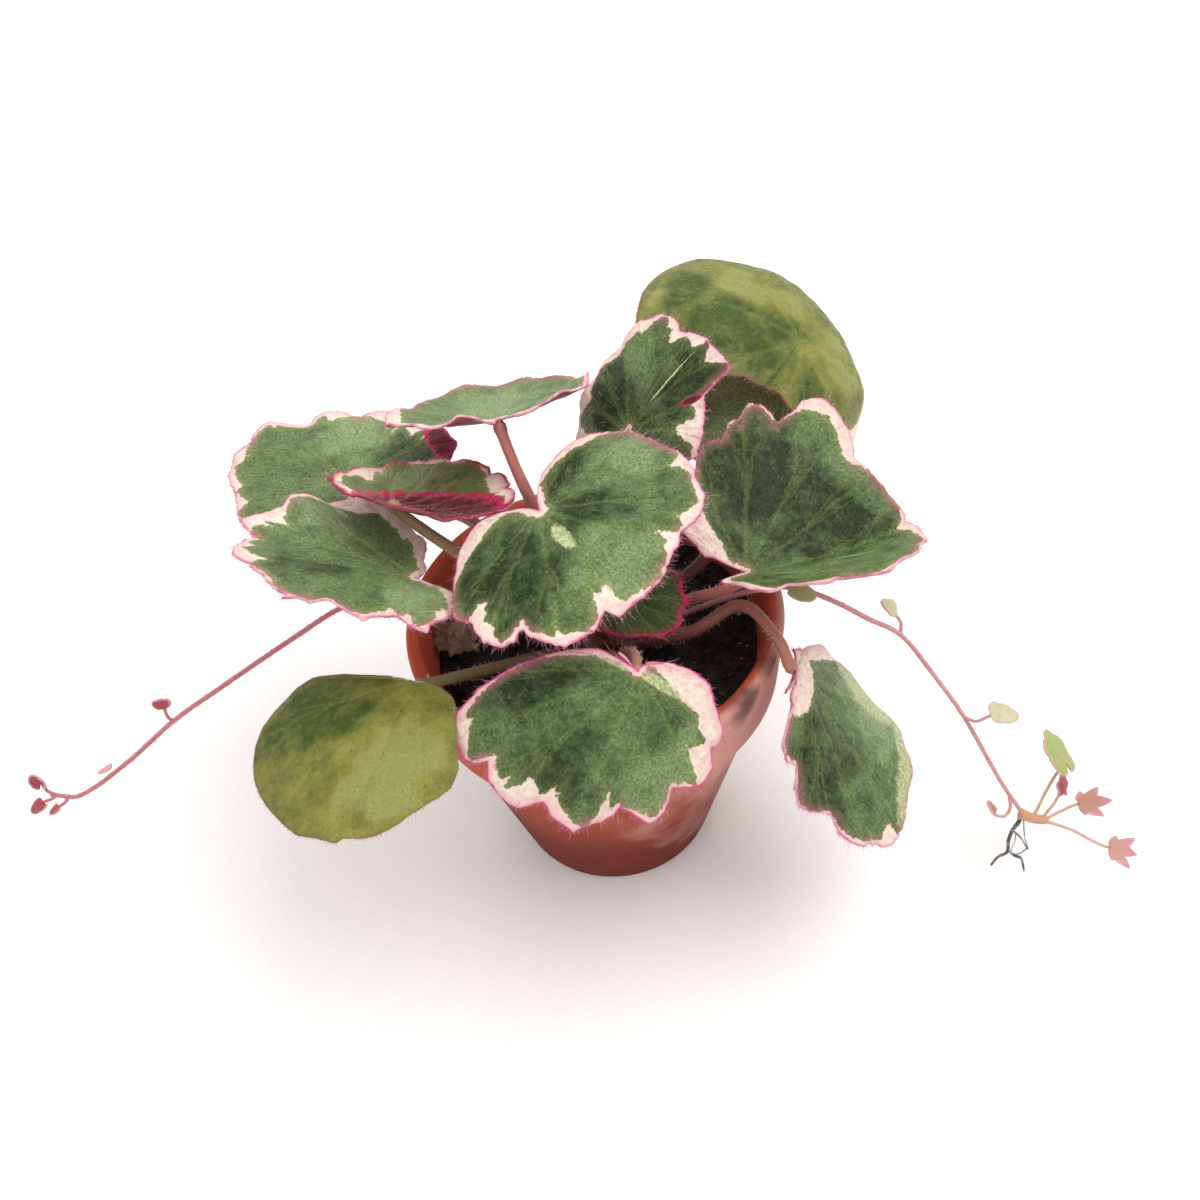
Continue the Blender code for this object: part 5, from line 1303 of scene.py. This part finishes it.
def stem_bmesh(path, radius_at, sides, tint=0.0):
    """Round stem along a path: a sheet rolled round it, closed at both ends."""
    last = len(path) - 1
    frames = path_frames(path)
    bm = bmesh.new()
    bmesh.ops.create_grid(bm, x_segments=last, y_segments=sides, size=1.0, calc_uvs=False)
    layer = {key: bm.verts.layers.float.new(key) for key in ("along", "turn", "tint")}
    for v in bm.verts:
        i = round((v.co.x + 1.0) / 2.0 * last)
        turn = (v.co.y + 1.0) * math.pi
        ahead, across = frames[i]
        bumps = 1.0 + 0.07 * noise.noise(Vector((i * 0.35, math.cos(turn), math.sin(turn) + path[0].x)))
        v.co = path[i] + radius_at(i / last) * bumps * (
            math.cos(turn) * across + math.sin(turn) * ahead.cross(across)
        )
        v[layer["along"]] = i / last
        v[layer["turn"]] = 0.5 + 0.5 * math.sin(turn)
        v[layer["tint"]] = tint
    bmesh.ops.remove_doubles(bm, verts=bm.verts, dist=1e-3)
    bmesh.ops.holes_fill(bm, edges=bm.edges, sides=sides)
    bmesh.ops.recalc_face_normals(bm, faces=bm.faces)
    return bm


def hairs_bmesh(hairs):
    """Tapering three-sided hairs from (root, way, length, radius), made in tufts to keep it quick."""
    bm = bmesh.new()
    for first in range(0, len(hairs), TUFT):
        tuft = bmesh.new()
        layer = tuft.verts.layers.float.new("along")
        for root, way, length, radius in hairs[first:first + TUFT]:
            turn = way.to_track_quat("Z", "Y").to_matrix().to_4x4()
            made = bmesh.ops.create_cone(
                tuft, cap_ends=False, segments=3, radius1=radius, radius2=radius * 0.2, depth=length,
                matrix=Matrix.Translation(root + way * (0.5 * length - 0.08)) @ turn,
            )
            for v in made["verts"]:
                v[layer] = 1.0 if (v.co - root).dot(way) > 0.5 * length else 0.0
        merge_into(bm, tuft)
    return bm


def leaf_hairs(leaf, looks, sizes, count, chance):
    """Pink fringe along a leaf's margin and pale bristles over its upper face."""
    frame_now = leaf_frame(leaf["turn"])
    up = frame_now[2]
    fringe, bristles = [], []
    samples = rim_samples(leaf, looks)
    longest = sizes.margin_hair / MM * (0.6 if looks.get("olive", 0) > 0.8 else 1.0)
    radius = sizes.hair_radius / MM * 0.85
    for (angle, _, lobe), (after, _, _) in zip(samples, samples[1:]):
        start, end = margin_reach(leaf, looks, angle), margin_reach(leaf, looks, after)
        length = (flat_point(after, end) - flat_point(angle, start)).length
        for _ in range(max(1, round(length / sizes.fringe_gap * MM))):
            part = chance.random()
            here, reach = angle + (after - angle) * part, start + (end - start) * part
            edge = sheet_point(leaf, frame_now, here, reach - 0.1, 1.0, lobe)
            inside = sheet_point(leaf, frame_now, here, reach - 1.2, 0.95, lobe)
            out = (edge - inside).normalized()
            way = out + up * chance.uniform(-0.35, 0.6) + out.cross(up) * chance.uniform(-0.6, 0.6)
            spread = (1.2, 1.9) if chance.random() < 0.12 else (0.3, 1.0)
            fringe.append((edge - up * 0.4, way.normalized(), longest * chance.uniform(*spread), radius))
    longest = sizes.surface_hair / MM
    for _ in range(count):
        angle = chance.uniform(samples[0][0], samples[-1][0])
        share = math.sqrt(chance.uniform(0.01, 0.97))
        limit = margin_reach(leaf, looks, angle) - 1.5
        if limit < 4.0:
            continue
        reach = limit * share
        lobe = min(samples, key=lambda s: abs(s[0] - angle))[2]
        here = sheet_point(leaf, frame_now, angle, reach, share, lobe)
        ahead = sheet_point(leaf, frame_now, angle, reach + 0.5, share, lobe)
        out = (ahead - here).normalized()
        way = out * chance.uniform(0.7, 1.6) + up * chance.uniform(0.4, 0.9)
        way += out.cross(up) * chance.uniform(-0.6, 0.6)
        bristles.append((here, way.normalized(), longest * chance.uniform(0.3, 1.0), radius * 0.5))
    return fringe, bristles


def stem_hairs(path, radius_at, sizes, per_mm, chance, longest=1.0, start=0.0):
    """Fine hairs all round a stem."""
    hairs = []
    frames = path_frames(path)
    last = len(path) - 1
    length = sum((b - a).length for a, b in zip(path, path[1:]))
    for _ in range(round(length * per_mm)):
        along = start + (1.0 - start) * chance.random()
        i = min(last - 1, int(along * last))
        ahead, across = frames[i]
        turn = chance.uniform(0.0, math.tau)
        out = math.cos(turn) * across + math.sin(turn) * ahead.cross(across)
        root = path[i].lerp(path[i + 1], along * last - i) + out * radius_at(along) * 0.95
        way = (out + ahead * chance.uniform(-0.4, 0.5)).normalized()
        reach = sizes.stalk_hair / MM * longest * chance.uniform(0.4, 1.0)
        hairs.append((root, way, reach, sizes.hair_radius / MM * 0.8))
    return hairs


def stalk_path(leaf, count):
    """Smooth route of a leaf's stalk, from inside the crown to the underside of its blade."""
    azimuth, height = (math.radians(a) for a in leaf["foot"])
    level = Vector((math.cos(azimuth), math.sin(azimuth), 0.0))
    away = level * math.cos(height) + Vector((0.0, 0.0, math.sin(height)))
    foot = Vector((0.0, 0.0, CROWN_MIDDLE)) + away * (CROWN_RADIUS - 1.5)
    top, arrive = blade_seat(leaf, BLADE_THICKNESS, STALK_RADII[1])
    return smooth_path([foot, *leaf.get("via", []), top], away, arrive, count)


def blade_seat(leaf, thickness, radius):
    """Where a stalk runs into the underside of its blade, and its direction there."""
    tip, _, up = leaf_frame(leaf["turn"])
    slope = math.radians(leaf["arrive"])
    top = Vector(leaf["at"]) - up * (thickness * 0.5 + radius * math.cos(slope) * 0.6) + tip * 0.5 * radius
    return top, tip * math.cos(slope) + up * math.sin(slope)


def stalk_radius(along):
    """Radius of a leaf stalk: a swollen foot, a slow taper, and a small flare under the blade."""
    low, high = STALK_RADII
    taper = low + (high - low) * along
    taper += 1.0 * math.exp(-along / 0.06) + 0.35 * math.exp(-(((along - 0.97) / 0.03) ** 2))
    return taper * (0.75 if along > 0.995 else 1.0)


def stem_path(points, step):
    """Smooth path of a free stem through its points."""
    knots = [Vector(p) for p in points]
    length = sum((b - a).length for a, b in zip(knots, knots[1:]))
    return smooth_path(knots, knots[1] - knots[0], knots[-1] - knots[-2], round(length / step))


def taper(radii):
    """Radius along a stem that narrows evenly."""
    return lambda along: radii[0] + (radii[1] - radii[0]) * along


def merge_into(bm, other):
    """Put another bmesh's parts into bm."""
    mesh = bpy.data.meshes.new("part")
    other.to_mesh(mesh)
    other.free()
    bm.from_mesh(mesh)
    bpy.data.meshes.remove(mesh)


def small_leaf_bmesh(leaf, tints, rings, steps):
    """Blade of a bract or plantlet leaf, with its tints kept on its vertices."""
    frame_now = leaf_frame(leaf["turn"])
    samples = margin_samples(leaf, steps)
    count = len(samples)
    bm = bmesh.new()
    bmesh.ops.create_grid(bm, x_segments=rings, y_segments=count - 1, size=1.0, calc_uvs=False)
    layer = {key: bm.verts.layers.float.new(key) for key in SMALL_FACTS}
    for v in bm.verts:
        share = round((v.co.x + 1.0) / 2.0 * rings) / rings
        angle, _, lobe = samples[round((v.co.y + 1.0) / 2.0 * (count - 1))]
        away = abs(2.0 * lobe - 1.0)
        scallop = leaf["depth"] * (2.0 * away if leaf["depth"] > 0.15 else 1.0 - math.sqrt(1.0 - away**2))
        edge = between(leaf["edge"], angle)
        reach = edge * (1.0 - scallop * share**2) * share
        place, rise = curled(leaf, frame_now, angle, reach, share)
        v.co = place + rise * frame_now[2]
        for key, value in zip(SMALL_FACTS, (edge * (1.0 - scallop) * (1.0 - share), share, *tints)):
            v[layer[key]] = value
    return face_up(bm, frame_now[2])


def thicken(made, thickness, under=1, rim=2):
    """Give a leaf sheet its thickness below the upper face, with its own underside and rim."""
    wall = made.modifiers.new("blade thickness", "SOLIDIFY")
    wall.thickness = thickness
    wall.offset = -1.0
    wall.use_rim = True
    wall.material_offset = under
    wall.material_offset_rim = rim


def knot_radius(along):
    """Radius of the plantlet's short thick stem, closing at its far end."""
    return taper(KNOT_RADII)(along) * (1.0 - 0.45 * max(0.0, (along - 0.85) / 0.15) ** 2)


def twig_paths(stem):
    """Routes of the small leaves' stalks that leave a stem."""
    paths = []
    for leaf in SMALL_LEAVES.values():
        if leaf.get("on") == stem:
            top, arrive = blade_seat(leaf, SMALL_BLADE_THICKNESS, TWIG_RADII[1])
            knots = [Vector(p) for p in leaf["stalk"]] + [top]
            paths.append(smooth_path(knots, knots[1] - knots[0], arrive, 8 * len(knots)))
    return paths


def stem_with_twigs(stem, path, radius_at, sizes):
    """A free stem with the stalks of its small leaves, and the hairs of both."""
    sides, tints, per_mm, longest, seed = STEM_LOOKS[stem]
    chance = random.Random(seed)
    bm = stem_bmesh(path, radius_at, sides, tints[0])
    hairs = stem_hairs(path, radius_at, sizes, per_mm[0], chance, longest[0])
    for twig_path in twig_paths(stem):
        merge_into(bm, stem_bmesh(twig_path, taper(TWIG_RADII), TWIG_SIDES, tints[1]))
        hairs += stem_hairs(twig_path, taper(TWIG_RADII), sizes, per_mm[1], chance, longest[1])
    return bm, hairs


def camera_matrix():
    """Place and turn of the camera that took the photograph, from its fitted angles."""
    lift, roll = math.radians(CAMERA_LIFT), math.radians(CAMERA_ROLL)
    ahead = Vector((0.0, math.cos(lift), -math.sin(lift)))
    level = Vector((1.0, 0.0, 0.0))
    above = level.cross(ahead)
    right = math.cos(roll) * level + math.sin(roll) * above
    up = -math.sin(roll) * level + math.cos(roll) * above
    place = Vector(CAMERA_TARGET) * MM - ahead * CAMERA_DISTANCE * MM
    turn = Matrix((right, up, -ahead)).transposed().to_4x4()
    return Matrix.Translation(place) @ turn


class BEGONIA_OT_pot(bpy.types.Operator):
    """Turn the terracotta pot and cut its drain holes"""

    bl_idname = "begonia.pot"
    bl_label = "Terracotta pot"

    def execute(self, context):
        surface = terracotta_surface("unglazed_terracotta", context.scene.begonia_colours)
        bm = pot_bmesh(144)
        holes = bmesh.new()
        for i in range(DRAIN_COUNT):
            turn = math.tau * i / DRAIN_COUNT
            place = Matrix.Translation((DRAIN_RING * math.cos(turn), DRAIN_RING * math.sin(turn), 0))
            bmesh.ops.create_cone(
                holes, cap_ends=True, segments=40, radius1=DRAIN_RADIUS, radius2=DRAIN_RADIUS,
                depth=4 * FLOOR, matrix=place,
            )
        bmesh.ops.scale(holes, vec=(MM, MM, MM), verts=holes.verts)
        mesh = bpy.data.meshes.new("drain_cutters")
        holes.to_mesh(mesh)
        holes.free()
        cutter = bpy.data.objects.new("drain_cutters", mesh)
        context.scene.collection.objects.link(cutter)
        pot = piece("terracotta_pot", bm, [surface], ["pot"], sharp=35)
        cut = pot.modifiers.new("drain holes", "BOOLEAN")
        cut.solver = "EXACT"
        cut.object = cutter
        whole = bpy.data.meshes.new_from_object(pot.evaluated_get(context.evaluated_depsgraph_get()))
        pot.modifiers.clear()
        pot.data = whole
        bpy.data.objects.remove(cutter, do_unlink=True)
        bpy.data.meshes.remove(mesh)
        return {"FINISHED"}


class BEGONIA_OT_soil(bpy.types.Operator):
    """Fill the pot with potting mix, and scatter crumbs, bark and pale grit on it"""

    bl_idname = "begonia.soil"
    bl_label = "Potting mix"

    def execute(self, context):
        colours = context.scene.begonia_colours
        count = context.scene.begonia_sizes.soil_grains
        mix = crumb_surface("damp_peat_mix", colours.soil_dark, "#3E2F26", 0.8)
        piece("potting_mix", soil_bmesh(44, 120), [mix], ["soil"], sharp=60)
        edge = inner_radius(SOIL_TOP) - 2.0
        piece("soil_crumbs", crumbs_bmesh(count, (0.5, 1.9), edge, SEEDS["crumbs"]), [mix])
        bark = crumb_surface("composted_bark", "#4A3222", "#80603F", 0.9)
        bits = crumbs_bmesh(count // 9, (0.8, 2.6), edge, SEEDS["bark"], 0.45)
        piece("bark_bits", bits, [bark])
        scrap = crumb_surface("dead_leaf", "#8A7058", "#C4AC90", 0.9)
        thicken(piece("dead_leaf_scrap", scrap_bmesh(), [scrap]), SCRAP_THICKNESS * MM, 0, 0)
        grit = crumb_surface("pale_grit", "#B9A58F", "#E3D8CB", 1.0)
        bits = crumbs_bmesh(count // 14, (0.25, 0.7), edge, SEEDS["grit"])
        piece("pale_grit", bits, [grit])
        return {"FINISHED"}


class BEGONIA_OT_crown(bpy.types.Operator):
    """Make the knobbly crown that the stalks spring from"""

    bl_idname = "begonia.crown"
    bl_label = "Crown"

    def execute(self, context):
        surface = stem_surface("crown_bark", "#6B3A30", "#4A2A22", 0.6)
        piece("knobbly_crown", crown_bmesh(64), [surface], ["crown"])
        return {"FINISHED"}


class BEGONIA_OT_leaves(bpy.types.Operator):
    """Make the blades of the rosette"""

    bl_idname = "begonia.leaves"
    bl_label = "Rosette leaves"

    def execute(self, context):
        thickness = context.scene.begonia_sizes.blade_thickness
        colours = context.scene.begonia_colours
        surfaces = [
            leaf_top_surface("hairy_leaf_top", colours),
            leaf_underside_surface("hairy_leaf_underside", colours),
            leaf_rim_surface("leaf_cut_edge", colours),
        ]
        for name, leaf in LEAVES.items():
            bm = leaf_bmesh(leaf, MARKINGS[name], 34)
            thicken(piece(f"leaf_{name}", bm, surfaces, [f"blade_{name}"]), thickness)
        return {"FINISHED"}


class BEGONIA_OT_leaf_hairs(bpy.types.Operator):
    """Grow the fringe and the bristles of each leaf"""

    bl_idname = "begonia.leaf_hairs"
    bl_label = "Leaf hairs"

    def execute(self, context):
        sizes = context.scene.begonia_sizes
        pink = hair_surface("pink_margin_hair", "#D6478A", "#F0B4C8")
        white = hair_surface("white_leaf_bristle", "#8B9A68", "#D9D6C4")
        for n, (name, leaf) in enumerate(LEAVES.items()):
            looks = MARKINGS[name]
            count = BRISTLES["smooth" if looks.get("olive", 0) > 0.8 else "hairy"]
            chance = random.Random(SEEDS["leaf hairs"] + n)
            fringe, bristles = leaf_hairs(leaf, looks, sizes, count, chance)
            piece(f"fringe_{name}", hairs_bmesh(fringe), [pink])
            piece(f"bristles_{name}", hairs_bmesh(bristles), [white])
        return {"FINISHED"}


class BEGONIA_OT_stalks(bpy.types.Operator):
    """Make the fleshy, hairy stalks from the crown to each leaf"""

    bl_idname = "begonia.stalks"
    bl_label = "Leaf stalks"

    def execute(self, context):
        sizes = context.scene.begonia_sizes
        colours = context.scene.begonia_colours
        flesh = stem_surface("fleshy_stalk", colours.stalk_pink, colours.stalk_olive, 0.25, 0.9)
        down = hair_surface("stalk_hair", "#D9A59E", colours.hair_white)
        for n, (name, leaf) in enumerate(LEAVES.items()):
            path = stalk_path(leaf, 48)
            bm = stem_bmesh(path, stalk_radius, 14, STALK_OLIVE[name])
            piece(f"petiole_{name}", bm, [flesh], [f"stalk_{name}"])
            chance = random.Random(SEEDS["stalk hairs"] + n)
            hairs = stem_hairs(path, stalk_radius, sizes, STALK_HAIRS_PER_MM, chance, start=BARE_FOOT)
            piece(f"petiole_hairs_{name}", hairs_bmesh(hairs), [down])
        return {"FINISHED"}


class BEGONIA_OT_runners(bpy.types.Operator):
    """Make the two runners, the plantlet's stem and the stalks of the small leaves"""

    bl_idname = "begonia.runners"
    bl_label = "Runners"

    def execute(self, context):
        sizes = context.scene.begonia_sizes
        colours = context.scene.begonia_colours
        red = stem_surface("runner_skin", colours.runner_red, "#DFA6A8", 0.3)
        orange = stem_surface("plantlet_stem", "#C2906E", "#DCB4A2", 0.2)
        down = hair_surface("runner_hair", "#D8A8A0", colours.hair_white)
        for side, points in RUNNERS.items():
            path = stem_path(points, 1.2)
            bm, hairs = stem_with_twigs(f"runner_{side}", path, taper(RUNNER_RADII), sizes)
            piece(f"runner_stem_{side}", bm, [red], [f"runner_{side}"])
            piece(f"runner_hairs_{side}", hairs_bmesh(hairs), [down])
        bm, hairs = stem_with_twigs("knot", stem_path(KNOT, 0.6), knot_radius, sizes)
        piece("plantlet_knot", bm, [orange], ["plantlet_right_stems"])
        piece("plantlet_knot_hairs", hairs_bmesh(hairs), [down])
        return {"FINISHED"}


class BEGONIA_OT_small_leaves(bpy.types.Operator):
    """Make the bracts, the plantlet's leaves and the young leaves"""

    bl_idname = "begonia.small_leaves"
    bl_label = "Bracts and plantlet leaves"

    def execute(self, context):
        surface = small_leaf_surface("young_leaf", context.scene.begonia_colours)
        for name, leaf in SMALL_LEAVES.items():
            bm = small_leaf_bmesh(leaf, SMALL_TINTS[name], 10, 12)
            made = piece(f"little_{name}", bm, [surface], [name])
            thicken(made, SMALL_SHEET * MM, 0, 0)
        return {"FINISHED"}


class BEGONIA_OT_roots(bpy.types.Operator):
    """Make the grey branched roots under the plantlet"""

    bl_idname = "begonia.roots"
    bl_label = "Plantlet roots"

    def execute(self, context):
        surface = crumb_surface("dry_grey_root", "#5A585C", "#B8BABE", 1.0)
        bm = bmesh.new()
        for points, radii in ROOTS:
            path = stem_path(points, 0.6)
            merge_into(bm, stem_bmesh(path, taper(radii), TWIG_SIDES))
        piece("aerial_roots", bm, [surface], ["plantlet_right_roots"])
        return {"FINISHED"}


class BEGONIA_OT_stage(bpy.types.Operator):
    """Lay the white ground, hang the soft lights and set the camera"""

    bl_idname = "begonia.stage"
    bl_label = "Stage, lights and camera"

    def execute(self, context):
        scene = context.scene
        bm = bmesh.new()
        bmesh.ops.create_grid(bm, x_segments=4, y_segments=4, size=3.0)
        mesh = bpy.data.meshes.new("white_ground")
        bm.to_mesh(mesh)
        bm.free()
        mesh.materials.append(card_surface("white_card"))
        ground = bpy.data.objects.new("white_ground", mesh)
        scene.collection.objects.link(ground)
        for name, place, size, power in LIGHTS:
            lamp = bpy.data.lights.new(name, "AREA")
            lamp.shape = "SQUARE"
            lamp.size = size
            lamp.energy = power
            made = bpy.data.objects.new(name, lamp)
            made.location = place
            made.rotation_euler = (Vector((0, 0, 0.08)) - Vector(place)).to_track_quat("-Z", "Y").to_euler()
            scene.collection.objects.link(made)
        world = bpy.data.worlds.new("soft_white_room")
        world.use_nodes = True
        world.node_tree.nodes["Background"].inputs[0].default_value = (1.0, 1.0, 1.0, 1.0)
        world.node_tree.nodes["Background"].inputs[1].default_value = WORLD_STRENGTH
        scene.world = world
        eye = bpy.data.cameras.new("photo_camera")
        eye.lens = 36.0
        eye.sensor_width = 36.0
        eye.clip_start = 0.01
        made = bpy.data.objects.new("photo_camera", eye)
        made.matrix_world = camera_matrix()
        scene.collection.objects.link(made)
        scene.camera = made
        scene.view_settings.view_transform = "Standard"
        return {"FINISHED"}


class BEGONIA_PT_panel(bpy.types.Panel):
    """Sizes, colours and the steps that build the plant"""

    bl_idname = "BEGONIA_PT_panel"
    bl_label = "Strawberry begonia"
    bl_space_type = "VIEW_3D"
    bl_region_type = "UI"
    bl_category = "Begonia"

    def draw(self, context):
        for group in (context.scene.begonia_sizes, context.scene.begonia_colours):
            box = self.layout.box()
            for key in group.__annotations__:
                box.prop(group, key)
        for step in STEPS:
            self.layout.operator(step.bl_idname)


STEPS = (
    BEGONIA_OT_pot, BEGONIA_OT_soil, BEGONIA_OT_crown, BEGONIA_OT_leaves, BEGONIA_OT_leaf_hairs,
    BEGONIA_OT_stalks, BEGONIA_OT_runners, BEGONIA_OT_small_leaves, BEGONIA_OT_roots, BEGONIA_OT_stage,
)
CLASSES = (BegoniaSizes, BegoniaColours, *STEPS, BEGONIA_PT_panel)


def register():
    for item in CLASSES:
        bpy.utils.register_class(item)
    bpy.types.Scene.begonia_sizes = PointerProperty(type=BegoniaSizes)
    bpy.types.Scene.begonia_colours = PointerProperty(type=BegoniaColours)


def unregister():
    del bpy.types.Scene.begonia_colours
    del bpy.types.Scene.begonia_sizes
    for item in reversed(CLASSES):
        bpy.utils.unregister_class(item)


def main():
    register()
    bpy.ops.begonia.pot()
    bpy.ops.begonia.soil()
    bpy.ops.begonia.crown()
    bpy.ops.begonia.leaves()
    bpy.ops.begonia.leaf_hairs()
    bpy.ops.begonia.stalks()
    bpy.ops.begonia.runners()
    bpy.ops.begonia.small_leaves()
    bpy.ops.begonia.roots()
    bpy.ops.begonia.stage()
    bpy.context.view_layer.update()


if __name__ == "__main__":
    main()
